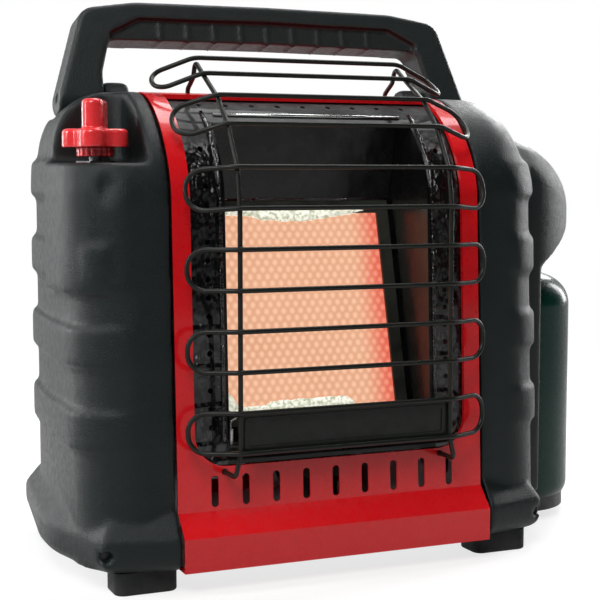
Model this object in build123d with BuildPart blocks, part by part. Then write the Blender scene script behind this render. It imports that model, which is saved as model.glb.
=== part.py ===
"""Portable radiant propane heater: steel front case, moulded side housings, folding handle,
wire guard, tiled burner with its gas train, swing-out regulator and screw-on cylinder.

Millimetres. +Z is up, the front faces -Y, and the origin is at the bottom centre of the whole heater.
"""
import os
from math import atan2, cos, degrees, hypot, radians, sin

from build123d import *

os.makedirs("parts", exist_ok=True)

# ---------------------------------------------------------------- case
case_half_width = 111.2
case_depth = 205.0
case_top = 323.0
sheet = 1.2
seam_gap = 0.5
foot_height = 14.8
skirt_reach_front = 13.5
crease_height = 36.7
panel_start = 50.7
arch_start = 252.0
panel_lean = 8.8
arch_run = 69.2
arch_fullness = 0.45
rear_arch_run = 75.0
rear_arch_rise = 75.0
rear_arch_fullness = 0.5523

cover_seam = 156.0
base_front = 1.0
base_back = 190.0
base_gap = 0.4
base_inset = 14.6
chassis_gap = 4.6
chassis_setback = 15.0
louvre_pitch = 18.0
louvre_count = 9
louvre_length = 30.0
louvre_width = 4.0
louvre_low_z = 62.0
louvre_high_z = 222.0
foot_x = 131.0
foot_width = 42.0
foot_depth = 27.0
foot_corner = 7.0
foot_edge = 1.5
foot_front_y = 16.0
foot_rear_y = 180.0

# ---------------------------------------------------------------- moulded side housings
wall = 3.0
side_reach = 169.5
side_reach_front = 166.5
side_reach_back = 156.0
shoulder_radius = 38.0
skirt_reach = 181.0
skirt_corner_x = 161.0
skirt_corner_y = -0.8
skirt_rear_x = 166.0
skirt_bow_front = 62.0
skirt_bow_back = 95.0
skirt_bow_radius = 90.0
skirt_rear_radius = 20.0
skirt_corner_radius = 26.0
hem_radius = 11.0
flare_rise = 15.5
flare_in = 11.0
band_height = 24.5
band_pitch = 53.5
band_first = 92.0
band_count = 4
band_proud = 4.0
pad_proud = 6.5
pad_bottom = 192.0
pad_half_width = 36.0
pad_corner = 24.0
barrel_x = 151.0
barrel_y = 27.0
barrel_radius = 18.0
barrel_edge = 2.5

# ---------------------------------------------------------------- knob pocket
knob_x = -149.5
knob_y = 50.0
pocket_floor = 275.0
pocket_inner_x = -124.0
pocket_back = 84.0
pocket_corner = 12.0

# ---------------------------------------------------------------- opening and chamber
opening_half = 99.0
opening_bottom = 79.0
opening_top_y = 66.0
opening_corner = 22.0
opening_flange = 3.0
slot_count = 9
slot_pitch = 21.5
slot_width = 5.0
slot_bottom = 53.0
slot_top = 73.4
surround_setback = 4.0
surround_overlap = 10.0
enamel = 0.9
fit_gap = 0.3
chamber_half = 74.0
chamber_bottom = 88.0
chamber_mouth = 213.0
chamber_overlap = 10.0
perforation = 3.6
perforation_pitch = 12.0
perforation_first = 104.0
perforation_last = 290.0
perforation_top_pitch = 19.0
perforation_top_inset = 8.0
perforation_top_count = 9
tray_front = 2.6
tray_nose = 5.0
reflector_top_y = 57.0
reflector_top_z = 310.0
shield_front = 90.0
shield_back = 130.0
shield_slot_pitch = 13.0

# ---------------------------------------------------------------- burner
tile_width = 129.0
tile_height = 141.0
tile_thickness = 13.0
tile_bottom_y = 37.0
tile_bottom_z = 105.0
tile_lean = 13.8
burner_margin = 7.0
plenum_depth = 28.0
plenum_sheet = 1.0
gasket = 2.0
frame_lip = 2.0
frame_overlap = 2.0
bracket_back = 24.0
bracket_low = 20.0
bracket_high = 120.0
bracket_width = 16.0
venturi_radius = 11.0
venturi_flare = 5.0
venturi_bend = 22.0
venturi_mouth_x = -14.0
venturi_up_x = 50.0
venturi_y = 67.0
venturi_z = 62.0
venturi_top_z = 99.0
orifice_x = -35.0
orifice_across = 12.0

# ---------------------------------------------------------------- pilot
pilot_x = -58.0
pilot_y = 23.0
pilot_pitch = 9.0
pilot_radius = 3.5
pilot_top = 104.0
thermocouple_radius = 2.2
thermocouple_bottom = 80.0
thermocouple_top = 108.0
electrode_radius = 2.0
electrode_wire = 0.6
electrode_top = 99.0
pilot_plate_depth = 14.0
pilot_drop_x = -130.0
pilot_run_z = 66.0

# ---------------------------------------------------------------- guard
wire = 3.2
guard_reach = 22.0
guard_weld = 0.2
vertical_x = 75.5
rung_first = 91.0
rung_pitch = 25.9
upright_rungs = 7
shoulder_rungs = ((-17.5, 272.3), (-0.6, 300.0), (18.7, 319.0), (45.0, 334.5), (64.0, 346.0))
rung_half = 77.0
rung_bend = 20.0
rung_end_x = 107.0
rung_end_back = 14.0
end_fullness = 0.46
leg_x = 79.0
leg_bend = 4.0
hook_z = 75.5
hook_inner_y = 8.0
shoulder_bend = 16.0
guard_knee_y = 70.0
guard_knee_z = 333.0
guard_heel_y = 82.0
guard_heel_z = 326.0
guard_end_z = 314.0
leg_clearance = 0.6
hot_plate_height = 23.4
hot_plate_rim = 2.5
hot_plate_rise = 0.8

# ---------------------------------------------------------------- pipes
pipe_radius = 4.0
pipe_gap = 1.0
pipe_bend = 12.0
pipe_socket = 4.0
pilot_pipe_radius = 1.6
pipe_window_front = 34.0
pipe_window_back = 78.0
pipe_window_low = 52.0
pipe_window_high = 80.0

# ---------------------------------------------------------------- handle
pivot_y = 122.5
pivot_z = 320.0
handle_lean = 12.0
handle_top = 389.0
handle_bar = 27.0
handle_depth = 26.0
arm_inner = 126.0
arm_outer = 158.0
arm_end_radius = 13.0
handle_crown_x = 100.0
handle_crown_z = 388.0
handle_corner_x = 139.0
handle_corner_z = 382.0
handle_bow = 60.0
handle_corner = 14.0
handle_inner_x = 119.5
handle_inner_z = 361.0
handle_inner_corner = 8.0
handle_knee_z = 337.0
handle_edge = 3.0
handle_wall = 3.2
grip_face = 12.0
grip_face_end_x = 98.0
grip_step = 4.5
grip_ridges = 9
grip_pitch = 20.4
grip_ridge = 1.8
grip_rib = 2.4
grip_rib_height = 14.0
grip_rib_proud = 0.8
pin_head = 4.5
pin_head_length = 1.5
pin_radius = 3.0
pin_inner = 113.0
lug_radius = 12.0
lug_inner = 107.0
handle_gap = 0.8

# ---------------------------------------------------------------- knob and valve
knob_span = 43.0
knob_flange_bottom = 285.0
knob_flange = 12.0
knob_height = 316.0
knob_blade = 14.0
knob_blade_length = 34.0
knob_lobe = 8.5
knob_lobes = 4
knob_angle = 67.0
knob_core = 15.0
hub_radius = 12.0
hub_bottom = 279.0
hub_grooves = 18
hub_groove = 0.9
stem_radius = 4.0
stem_bottom = 238.0
stem_top = 300.0
stem_collar = 6.0
stem_collar_length = 2.0
stem_gap = 0.3
knob_travel = 2.5
spring_radius = 5.3
spring_wire = 0.8
spring_turns = 3.5
bonnet_radius = 8.0
bonnet_bottom = 271.0
bonnet_flange = 13.0
bonnet_flange_thickness = 1.2
valve_radius = 13.0
valve_bottom = 226.0
valve_top = 262.0
port_z = 246.0
port_radius = 6.0
port_reach = 16.0
outlet_drop = 4.0
pilot_port_z = 240.0
pilot_port_radius = 3.5
pilot_port_reach = 15.5
plug_radius = 7.0
plug_bottom = 236.0
plug_top = 252.0
running = 0.05
bracket_y = 63.5
bracket_outer_x = 163.0
bracket_bottom_z = 222.0
bracket_flange = 12.0
igniter_x = -122.0
igniter_y = 57.0
igniter_radius = 6.0
igniter_bottom = 205.0
igniter_top = 245.0

# ---------------------------------------------------------------- regulator and cylinder
cylinder_x = 202.0
cylinder_y = 118.0
cylinder_radius = 49.25
cylinder_bottom = 7.0
cylinder_straight_top = 166.0
cylinder_shoulder_top = 192.0
cylinder_wall = 1.2
collar_radius = 12.7
collar_top = 213.5
bay_clearance = 3.9
bay_lip_x = 190.5
bay_lip_top = 199.0
hood_radius = 74.0
hood_centre_x = 169.0
hood_brim_z = 236.0
hood_sweep = 46.0
hood_round = 32.0
hood_root_x = 128.0
hood_root_z = 303.0
bay_foot = 29.0
swing_z = 246.0
drum_radius = 26.0
drum_length = 26.0
elbow_radius = 6.0
elbow_inner_x = 145.0
elbow_y = 150.0
elbow_body = 8.0
elbow_front_y = 131.3
elbow_rear_y = 156.0
stub_radius = 5.0
stub_length = 10.0
bulkhead_nut_x = 146.0
bulkhead_nut_length = 4.3
bulkhead_nut_across = 15.5
bowl_radius = 20.0
bowl_depth = 8.0
cap_length = 8.0
cap_edge = 2.0
vent_radius = 6.0
vent_offset = 12.0
diaphragm = 1.0
neck_radius = 12.0
spigot_radius = 8.0
spigot_length = 3.0
nut_radius = 17.0
nut_bottom = 196.0
nut_top = 219.0
nut_flutes = 12
nut_flute = 2.0
seal_inner = 4.0
seal_thickness = 2.0
probe_radius = 2.0
probe_length = 12.0
cylinder_dish = 15.0
cylinder_heel = 34.0
cylinder_heel_rise = 15.0
foot_ring_lift = 4.5
seal_gap = 0.5
collar_flange = 16.0
collar_flange_thickness = 3.0
core_radius = 4.4
core_bottom = 198.0
core_length = 7.8
relief_offset = 28.0
relief_radius = 4.0
relief_bottom = 182.0
relief_top = 193.0
foot_ring_inner = 36.0
foot_ring_outer = 46.0
foot_ring_top = 20.0

# ---------------------------------------------------------------- small fixings
screw_x = 158.0
screw_z = 27.0
screw_boss = 6.0
screw_boss_back = 18.0
screw_seat_y = 9.0
screw_head = 3.3
screw_head_length = 2.4
screw_shank = 1.8
rear_screw_x = 102.0
rear_screw_low_z = 34.0
rear_screw_high_z = 236.0
rear_screw_length = 8.0
switch_x = 40.0
switch_y = 120.0
switch_width = 24.0
switch_depth = 18.0
switch_height = 26.0

# ---------------------------------------------------------------- frame of the whole heater
right_reach = cylinder_x + cylinder_radius
front_reach = guard_reach + wire / 2
case_x = (skirt_reach - right_reach) / 2
front_y = (front_reach - case_depth) / 2

# local planes: X to the right of the case's middle, Y behind its front face, Z above the floor
plan = Plane(origin=(case_x, front_y, 0))
face_on = Plane(origin=(case_x, front_y, 0), x_dir=(1, 0, 0), z_dir=(0, -1, 0))
side = Plane(origin=(case_x, front_y, 0), x_dir=(0, 1, 0), z_dir=(1, 0, 0))


def at_depth(depth):
    """Upright plane facing the front, at a depth behind the front face."""
    return face_on.offset(-depth)


def point(x, y, z):
    """A point given from the case's middle, its front face and the floor."""
    return Vector(case_x + x, front_y + y, z)


def save(piece, name):
    """Label a finished piece and write it as its own file."""
    piece.part.label = name
    export_step(piece.part, f"parts/{name}.step")


# ================================================================ side outline of the case
def case_outline(plane, inset, with_skirt):
    """Side view of the case: skirt, leaning panel, arched shoulder, flat top and rear arch, moved in by inset."""
    lean_slope = panel_lean / (arch_start - panel_start)
    base_y = -lean_slope * (panel_start - foot_height)
    rise = case_top - inset - arch_start
    run = arch_run - inset
    shoulder = (panel_lean + inset, arch_start)
    crown_front = (panel_lean + arch_run, case_top - inset)
    crown_rear = (case_depth - rear_arch_run, case_top - inset)
    rear_rise = rear_arch_rise - inset
    rear_top = (case_depth - inset, case_top - rear_arch_rise)
    grip = arch_fullness * rise
    with BuildSketch(plane) as outline:
        with BuildLine():
            if with_skirt:
                Polyline(
                    (inset - skirt_reach_front, foot_height),
                    (inset - skirt_reach_front, crease_height),
                    (inset, panel_start),
                    shoulder,
                )
                front_foot = (inset - skirt_reach_front, foot_height)
            else:
                front_foot = (base_y + inset, foot_height)
                Line(front_foot, shoulder)
            Bezier(
                shoulder,
                (shoulder[0] + lean_slope * grip, shoulder[1] + grip),
                (crown_front[0] - arch_fullness * run, crown_front[1]),
                crown_front,
            )
            Line(crown_front, crown_rear)
            Bezier(
                crown_rear,
                (crown_rear[0] + rear_arch_fullness * (rear_arch_run - inset), crown_rear[1]),
                (rear_top[0], rear_top[1] + rear_arch_fullness * rear_rise),
                rear_top,
            )
            Polyline(rear_top, (case_depth - inset, foot_height), front_foot)
        make_face()
    return outline.sketch


# ================================================================ forms shared by both side housings
def side_plan(inset):
    """Top view of one housing's outer side, gently bowed and narrower at the back."""
    with BuildSketch(plan) as outline:
        with BuildLine():
            bow = ThreePointArc(
                (side_reach_front - inset, -20),
                (side_reach - inset, case_depth * 0.35),
                (side_reach_back - inset, case_depth),
            )
            Polyline(bow @ 1, (0, case_depth), (0, -20), bow @ 0)
        make_face()
    return outline.sketch


def side_body(start, inset):
    """Right-hand body of a housing, from the start plane outwards, with its big rounded shoulder."""
    with BuildPart() as body:
        extrude(case_outline(side.offset(start), inset, False), amount=skirt_reach - start)
        extrude(side_plan(inset), amount=case_top + wall, mode=Mode.INTERSECT)
        outer = body.faces().sort_by(Axis.X)[-1]
        rim = outer.edges().filter_by_position(Axis.Z, foot_height + wall, case_top + wall)
        fillet(rim, radius=shoulder_radius - inset)
    return body.part


def skirt_outline(inset, height):
    """Top view of the right-hand skirt, out from the case's middle."""
    front = inset - skirt_reach_front
    back = case_depth - inset
    widest = skirt_reach - inset
    with BuildSketch(plan.offset(height)) as outline:
        with BuildLine():
            Polyline(
                (0, front),
                (case_half_width, front),
                (skirt_corner_x - inset / 2, skirt_corner_y + inset),
                (widest, skirt_bow_front),
                (widest, skirt_bow_back),
                (skirt_rear_x - inset, back),
                (0, back),
                close=True,
            )
        make_face()
        corners = outline.vertices().group_by(Axis.X)
        fillet(corners[-1], radius=skirt_bow_radius)
        fillet(corners[-2], radius=skirt_rear_radius - inset)
        fillet(corners[-3], radius=skirt_corner_radius - inset)
    return outline.sketch


def skirt_block(start, inset):
    """Right-hand skirt: rounded hem, upright band up to the crease, then the flare in to the body."""
    with BuildPart() as block:
        extrude(skirt_outline(inset, foot_height), amount=crease_height - foot_height)
        underside = block.faces().sort_by(Axis.Z)[0]
        hem = underside.edges().filter_by_position(Axis.X, case_x + case_half_width, case_x + skirt_reach)
        fillet(hem, radius=hem_radius)
        extrude(
            skirt_outline(inset, crease_height),
            amount=flare_rise,
            taper=degrees(atan2(flare_in, flare_rise)),
        )
        with BuildSketch(plan) as trim:
            with Locations((start + skirt_reach, case_depth / 2)):
                Rectangle(2 * skirt_reach, 2 * case_depth)
        extrude(trim.sketch, amount=case_top, mode=Mode.INTERSECT)
    return block.part


def housing_solid(start, inset):
    """Closed form of a right-hand housing: body and skirt together."""
    with BuildPart() as solid:
        add(side_body(start, inset))
        add(skirt_block(start, inset))
    return solid.part


def bands(start):
    """Raised soft bands round the outer side, dying out towards the front face."""
    with BuildPart() as raised:
        add(side_body(start, 0).moved(Location((band_proud, 0, 0))))
        with BuildSketch(side) as stripes:
            for i in range(band_count):
                middle = band_first + i * band_pitch + band_height / 2
                with Locations((case_depth / 2, middle)):
                    Rectangle(2 * case_depth, band_height)
        extrude(stripes.sketch, amount=2 * skirt_reach, mode=Mode.INTERSECT)
    return raised.part


def handle_well(grow):
    """Step in a right-hand housing's rear top that clears the folding handle."""
    clearance = arm_end_radius + handle_gap + grow
    with BuildPart() as well:
        with BuildSketch(side.offset(handle_inner_x - handle_gap - grow)) as step:
            with BuildLine():
                round_end = CenterArc((pivot_y, pivot_z), clearance, 180, 90)
                Polyline(
                    round_end @ 1,
                    (2 * case_depth, pivot_z - clearance),
                    (2 * case_depth, case_top + clearance),
                    (pivot_y - clearance, case_top + clearance),
                    round_end @ 0,
                )
            make_face()
        extrude(amount=skirt_reach)
    return well.part


def handle_lug(start):
    """Half-round boss beside a right-hand arm that carries the pivot pin."""
    with BuildPart() as boss:
        with BuildSketch(side.offset(lug_inner)) as disc:
            with Locations((pivot_y, pivot_z)):
                Circle(lug_radius)
        extrude(amount=arm_inner - handle_gap - lug_inner)
        with BuildSketch(side) as under:
            with Locations((pivot_y, case_top + seam_gap / 2 - case_depth / 2)):
                Rectangle(case_depth, case_depth)
        extrude(amount=start, mode=Mode.SUBTRACT)
    return boss.part


def pin_hole(radius):
    """Bore for a right-hand pivot pin, from inside the lug out through the arm."""
    with BuildPart() as bore:
        with BuildSketch(side.offset(pin_inner)) as mouth:
            with Locations((pivot_y, pivot_z)):
                Circle(radius)
        extrude(amount=skirt_reach - pin_inner)
    return bore.part


def screw_post(radius, front, back):
    """Round column along the depth at a right-hand skirt screw."""
    with BuildPart() as post:
        with BuildSketch(at_depth(front)) as view:
            with Locations((screw_x, screw_z)):
                Circle(radius)
        extrude(amount=front - back)
    return post.part


# ================================================================ left housing with the knob pocket
housing_start = case_half_width + seam_gap

# boss behind a right-hand skirt corner, and the seat and hole for its screw
with BuildPart() as corner_boss:
    add(skirt_block(housing_start, 0))
    add(screw_post(screw_boss, -skirt_reach_front, screw_boss_back), mode=Mode.INTERSECT)

with BuildPart() as screw_seat:
    add(screw_post(screw_head + fit_gap, -skirt_reach_front, screw_seat_y))
    add(screw_post(screw_shank, screw_seat_y, 2 * screw_boss_back))


def pocket_block(grow):
    """Hollow at the left housing's top front corner where the knob sits."""
    inner = pocket_inner_x + grow
    outer = -skirt_reach - pad_proud
    back = pocket_back + grow
    with BuildPart() as block:
        with BuildSketch(plan.offset(pocket_floor - grow)) as floor:
            with Locations(((inner + outer) / 2, (back - case_depth) / 2)):
                Rectangle(inner - outer, back + case_depth)
            fillet(floor.vertices().group_by(Axis.Y)[-1].sort_by(Axis.X)[-1:], radius=pocket_corner + grow)
        extrude(amount=case_top)
    return block.part


with BuildPart() as pocket_pad:
    add(side_body(housing_start, 0).moved(Location((pad_proud, 0, 0))))
    with BuildSketch(side) as shield:
        with Locations((knob_y + pad_half_width - case_depth / 2, (pad_bottom + pocket_floor) / 2)):
            Rectangle(case_depth, pocket_floor - pad_bottom)
        fillet(shield.vertices().group_by(Axis.Y)[-1].sort_by(Axis.Z)[:1], radius=pad_corner)
    extrude(shield.sketch, amount=2 * skirt_reach, mode=Mode.INTERSECT)

# short upright barrel where the third band runs under the pad
with BuildPart() as pad_barrel:
    barrel_bottom = band_first + (band_count - 2) * band_pitch
    with BuildSketch(plan.offset(barrel_bottom)) as barrel_round:
        with Locations((-barrel_x, barrel_y)):
            Circle(barrel_radius)
    extrude(amount=band_height)
    fillet(pad_barrel.edges().filter_by(GeomType.CIRCLE), radius=barrel_edge)

with BuildPart() as left_cavity:
    mirror(housing_solid(housing_start - 2 * wall, wall), about=side)
    add(pocket_block(wall), mode=Mode.SUBTRACT)
    mirror(handle_well(wall), about=side, mode=Mode.SUBTRACT)

with BuildPart() as left_housing:
    mirror(housing_solid(housing_start, 0), about=side)
    mirror(bands(housing_start), about=side)
    mirror(pocket_pad.part, about=side)
    add(pad_barrel.part)
    add(left_cavity.part, mode=Mode.SUBTRACT)
    add(pocket_block(0), mode=Mode.SUBTRACT)
    mirror(handle_well(0), about=side, mode=Mode.SUBTRACT)
    mirror(handle_lug(housing_start), about=side)
    mirror(pin_hole(pin_radius), about=side, mode=Mode.SUBTRACT)
    mirror(corner_boss.part, about=side)
    mirror(screw_seat.part, about=side, mode=Mode.SUBTRACT)
    with BuildSketch(plan.offset(pocket_floor - wall)) as stem_way:
        with Locations((knob_x, knob_y)):
            Circle(bonnet_radius + running)
    extrude(amount=wall, mode=Mode.SUBTRACT)
save(left_housing, "left_housing")


# ================================================================ right housing with bay and hood
bay_radius = cylinder_radius + bay_clearance


def under_hood(lip_x, inset, foot):
    """Front view of the bulge at the right: up to the lip, out along the brim, back over the dome."""
    brim_x = hood_centre_x + hood_radius
    with BuildSketch(at_depth(cylinder_y)) as view:
        with BuildLine():
            Polyline(
                (hood_root_x, foot),
                (lip_x, foot),
                (lip_x, bay_lip_top),
                (brim_x, hood_brim_z),
            )
            Bezier(
                (brim_x, hood_brim_z),
                (brim_x - inset - hood_sweep / 3, hood_brim_z + hood_sweep - inset),
                (hood_root_x + hood_sweep, hood_root_z - inset),
                (hood_root_x, hood_root_z - inset),
            )
            Line((hood_root_x, hood_root_z - inset), (hood_root_x, foot))
        make_face()
    return view.sketch


def bay_bulge(lip_x, inset, foot):
    """Bulge at the right that forms the hood and both lips of the cylinder bay."""
    with BuildPart() as bulge:
        with BuildSketch(plan.offset(foot)) as top_view:
            with Locations((hood_centre_x, cylinder_y)):
                Circle(hood_radius - inset)
        extrude(amount=case_top)
        extrude(under_hood(lip_x, inset, foot), amount=hood_radius, both=True, mode=Mode.INTERSECT)
        fillet(bulge.edges().filter_by(GeomType.BSPLINE), radius=hood_round - inset)
    return bulge.part


def bay_round(radius):
    """Upright cylinder round the gas cylinder's axis."""
    with BuildPart() as column:
        with BuildSketch(plan) as circle:
            with Locations((cylinder_x, cylinder_y)):
                Circle(radius)
        extrude(amount=case_top)
    return column.part


with BuildPart() as right_cavity:
    add(housing_solid(housing_start - 2 * wall, wall))
    add(bay_bulge(bay_lip_x - wall, wall, bay_foot + wall))
    add(bay_round(bay_radius + wall), mode=Mode.SUBTRACT)
    add(handle_well(wall), mode=Mode.SUBTRACT)

with BuildPart() as recess:
    add(bay_round(bay_radius))
    add(bay_bulge(2 * skirt_reach, wall, 0), mode=Mode.INTERSECT)

with BuildPart() as right_housing:
    add(bay_bulge(bay_lip_x, 0, bay_foot))
    add(housing_solid(housing_start, 0))
    add(bands(housing_start))
    add(right_cavity.part, mode=Mode.SUBTRACT)
    add(recess.part, mode=Mode.SUBTRACT)
    add(handle_well(0), mode=Mode.SUBTRACT)
    add(handle_lug(housing_start))
    add(pin_hole(pin_radius), mode=Mode.SUBTRACT)
    add(corner_boss.part)
    add(screw_seat.part, mode=Mode.SUBTRACT)
    with BuildSketch(side.offset(elbow_inner_x)) as elbow_way:
        with Locations((elbow_y, swing_z)):
            Circle(elbow_radius + running)
    extrude(amount=cylinder_x - elbow_inner_x, mode=Mode.SUBTRACT)
save(right_housing, "right_housing")


# ================================================================ steel case
def window(grow):
    """Prism of the front opening, running up over the shoulder."""
    height = case_top + opening_corner - opening_bottom
    with BuildPart() as prism:
        with BuildSketch(at_depth(opening_top_y + grow)) as view:
            with Locations((0, opening_bottom + height / 2)):
                RectangleRounded(2 * (opening_half + grow), height + 2 * grow, opening_corner + grow)
        extrude(amount=opening_top_y + 2 * grow + 2 * skirt_reach_front)
    return prism.part


def case_slab(inset, half_width, with_skirt=True):
    """Solid inside the case's side outline, centred on the case's middle."""
    with BuildPart() as slab:
        extrude(case_outline(side.offset(-half_width), inset, with_skirt), amount=2 * half_width)
    return slab.part


def floor_lip(front, back):
    """Return flange along the bottom of a steel sheet."""
    with BuildPart() as lip:
        with BuildSketch(plan.offset(foot_height)) as strip:
            with Locations((0, (front + back) / 2)):
                Rectangle(2 * case_half_width, back - front)
        extrude(amount=sheet)
    return lip.part


def behind(depth):
    """Everything further back than a depth."""
    with BuildPart() as rear:
        with BuildSketch(at_depth(depth)) as view:
            with Locations((0, case_top / 2)):
                Rectangle(3 * skirt_reach, 2 * case_top)
        extrude(amount=-2 * case_depth)
    return rear.part


with BuildPart() as opening_rim:
    add(window(sheet))
    add(window(0), mode=Mode.SUBTRACT)
    add(case_slab(0, case_half_width), mode=Mode.INTERSECT)
    add(case_slab(opening_flange, 2 * case_half_width), mode=Mode.SUBTRACT)

with BuildPart() as front_case:
    add(case_slab(0, case_half_width))
    add(case_slab(sheet, 2 * case_half_width), mode=Mode.SUBTRACT)
    add(behind(cover_seam), mode=Mode.SUBTRACT)
    add(window(0), mode=Mode.SUBTRACT)
    add(opening_rim.part)
    add(floor_lip(-skirt_reach_front, base_front - base_gap))
    with BuildSketch(at_depth(opening_flange)) as slots:
        with Locations((0, (slot_bottom + slot_top) / 2)):
            with GridLocations(slot_pitch, 0, slot_count, 1):
                SlotOverall(slot_top - slot_bottom, slot_width, rotation=90)
    extrude(amount=2 * opening_flange, mode=Mode.SUBTRACT)
    with BuildSketch(plan.offset(case_top - opening_flange)) as leg_holes:
        with Locations((-vertical_x, guard_heel_y), (vertical_x, guard_heel_y)):
            Circle(wire / 2 + leg_clearance)
    extrude(amount=2 * opening_flange, mode=Mode.SUBTRACT)
    with BuildSketch(at_depth(opening_flange)) as hook_holes:
        with Locations((-leg_x, hook_z), (leg_x, hook_z)):
            Circle(wire / 2 + leg_clearance)
    extrude(amount=2 * opening_flange, mode=Mode.SUBTRACT)
save(front_case, "front_case")

rear_screw_heights = (rear_screw_low_z, rear_screw_high_z)
rear_screw_spots = [(x, z) for x in (-rear_screw_x, rear_screw_x) for z in rear_screw_heights]
with BuildPart() as rear_cover:
    add(case_slab(0, case_half_width))
    add(case_slab(sheet, 2 * case_half_width), mode=Mode.SUBTRACT)
    add(behind(cover_seam + seam_gap), mode=Mode.INTERSECT)
    add(floor_lip(base_back + base_gap, case_depth))
    with BuildSketch(at_depth(case_depth - 2 * sheet)) as louvres:
        for row_z in (louvre_low_z, louvre_high_z):
            with Locations((0, row_z)):
                with GridLocations(louvre_pitch, 0, louvre_count, 1):
                    SlotOverall(louvre_length, louvre_width, rotation=90)
    extrude(amount=-4 * sheet, mode=Mode.SUBTRACT)
    with BuildSketch(at_depth(case_depth - 2 * sheet)) as screw_holes:
        with Locations(*rear_screw_spots):
            Circle(screw_head + running)
    extrude(amount=-4 * sheet, mode=Mode.SUBTRACT)
save(rear_cover, "rear_cover")

# pressed pan between the two skirts, cut away round the cylinder bay
with BuildPart() as base_plate:
    extrude(skirt_outline(base_inset, foot_height), amount=sheet)
    mirror(about=side)
    add(bay_round(bay_radius + wall + base_gap), mode=Mode.SUBTRACT)
save(base_plate, "base_plate")

for foot_name, foot_side, foot_y in (
    ("foot_front_left", -1, foot_front_y),
    ("foot_front_right", 1, foot_front_y),
    ("foot_rear_left", -1, foot_rear_y),
    ("foot_rear_right", 1, foot_rear_y),
):
    with BuildPart() as foot:
        with BuildSketch(plan) as pad:
            with Locations((foot_side * foot_x, foot_y)):
                RectangleRounded(foot_width, foot_depth, foot_corner)
        extrude(amount=foot_height)
        fillet(foot.faces().sort_by(Axis.Z)[0].edges(), radius=foot_edge)
    save(foot, foot_name)


# ================================================================ inner chassis
chassis_half = case_half_width - sheet - chassis_gap
with BuildPart() as chassis:
    add(case_slab(chassis_setback, chassis_half, False))
    with BuildSketch(plan.offset(foot_height + 2 * sheet)) as hollow:
        Rectangle(2 * (chassis_half - sheet), 4 * case_depth)
    extrude(amount=case_top, mode=Mode.SUBTRACT)
    with BuildSketch(plan) as under_base:
        Rectangle(3 * skirt_reach, 4 * case_depth)
    extrude(amount=foot_height + sheet, mode=Mode.SUBTRACT)
    with BuildSketch(side.offset(-case_half_width)) as side_holes:
        with Locations(((pipe_window_front + pipe_window_back) / 2, (pipe_window_low + pipe_window_high) / 2)):
            RectangleRounded(pipe_window_back - pipe_window_front, pipe_window_high - pipe_window_low, pipe_radius)
        with Locations((elbow_y, swing_z)):
            Circle(pipe_radius + pipe_gap)
    extrude(amount=2 * case_half_width, mode=Mode.SUBTRACT)
save(chassis, "chassis")


# ================================================================ heating chamber
# tilted plane of the burner: X across, Y up the tile, Z out of its face
lean = radians(tile_lean)
burner = Plane(
    origin=point(0, tile_bottom_y, tile_bottom_z), x_dir=(1, 0, 0), z_dir=(0, -cos(lean), sin(lean))
)
tile_top_y = tile_bottom_y + tile_height * sin(lean)
tile_top_z = tile_bottom_z + tile_height * cos(lean)
frame_width = tile_width + 2 * burner_margin
frame_height = tile_height + 2 * burner_margin
shelf_y = tile_bottom_y - burner_margin * sin(lean) - frame_lip - enamel

# black enamelled surround: perforated flange behind the opening, with side walls running back
flange_half = chassis_half - sheet - fit_gap
chamber_top = chamber_bottom + chamber_mouth
with BuildPart() as enamel_surround:
    add(case_slab(surround_setback, flange_half, False))
    add(case_slab(surround_setback + enamel, 2 * flange_half, False), mode=Mode.SUBTRACT)
    add(behind(opening_top_y + surround_overlap), mode=Mode.SUBTRACT)
    with BuildSketch(plan) as below:
        Rectangle(3 * skirt_reach, 4 * case_depth)
    extrude(amount=chamber_bottom, mode=Mode.SUBTRACT)
    with BuildSketch(at_depth(case_depth)) as mouth:
        with Locations((0, chamber_bottom + chamber_mouth / 2)):
            Rectangle(2 * chamber_half, chamber_mouth)
    extrude(amount=2 * case_depth, mode=Mode.SUBTRACT)
    for wall_start in (-chamber_half - enamel, chamber_half):
        with BuildSketch(side.offset(wall_start)) as panel:
            with BuildLine():
                Polyline(
                    (0, chamber_bottom),
                    (tile_bottom_y + chamber_overlap, chamber_bottom),
                    (tile_top_y + chamber_overlap, tile_top_z),
                    (tile_top_y + chamber_overlap, chamber_top),
                    (0, chamber_top),
                    close=True,
                )
            make_face()
        extrude(amount=enamel)
    add(case_slab(surround_setback, case_half_width, False), mode=Mode.INTERSECT)
    with BuildSketch(at_depth(opening_top_y)) as side_holes:
        hole_x = (opening_half + chamber_half) / 2
        rows = int((perforation_last - perforation_first) / perforation_pitch) + 1
        for i in range(rows):
            hole_z = perforation_first + i * perforation_pitch
            with Locations((-hole_x, hole_z), (hole_x, hole_z)):
                Circle(perforation / 2)
    extrude(amount=2 * opening_top_y, mode=Mode.SUBTRACT)
    with BuildSketch(plan.offset(chamber_top)) as top_holes:
        with Locations((0, opening_top_y - perforation_top_inset)):
            with GridLocations(perforation_top_pitch, 0, perforation_top_count, 1):
                Circle(perforation / 2)
    extrude(amount=case_top, mode=Mode.SUBTRACT)
save(enamel_surround, "enamel_surround")

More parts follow.
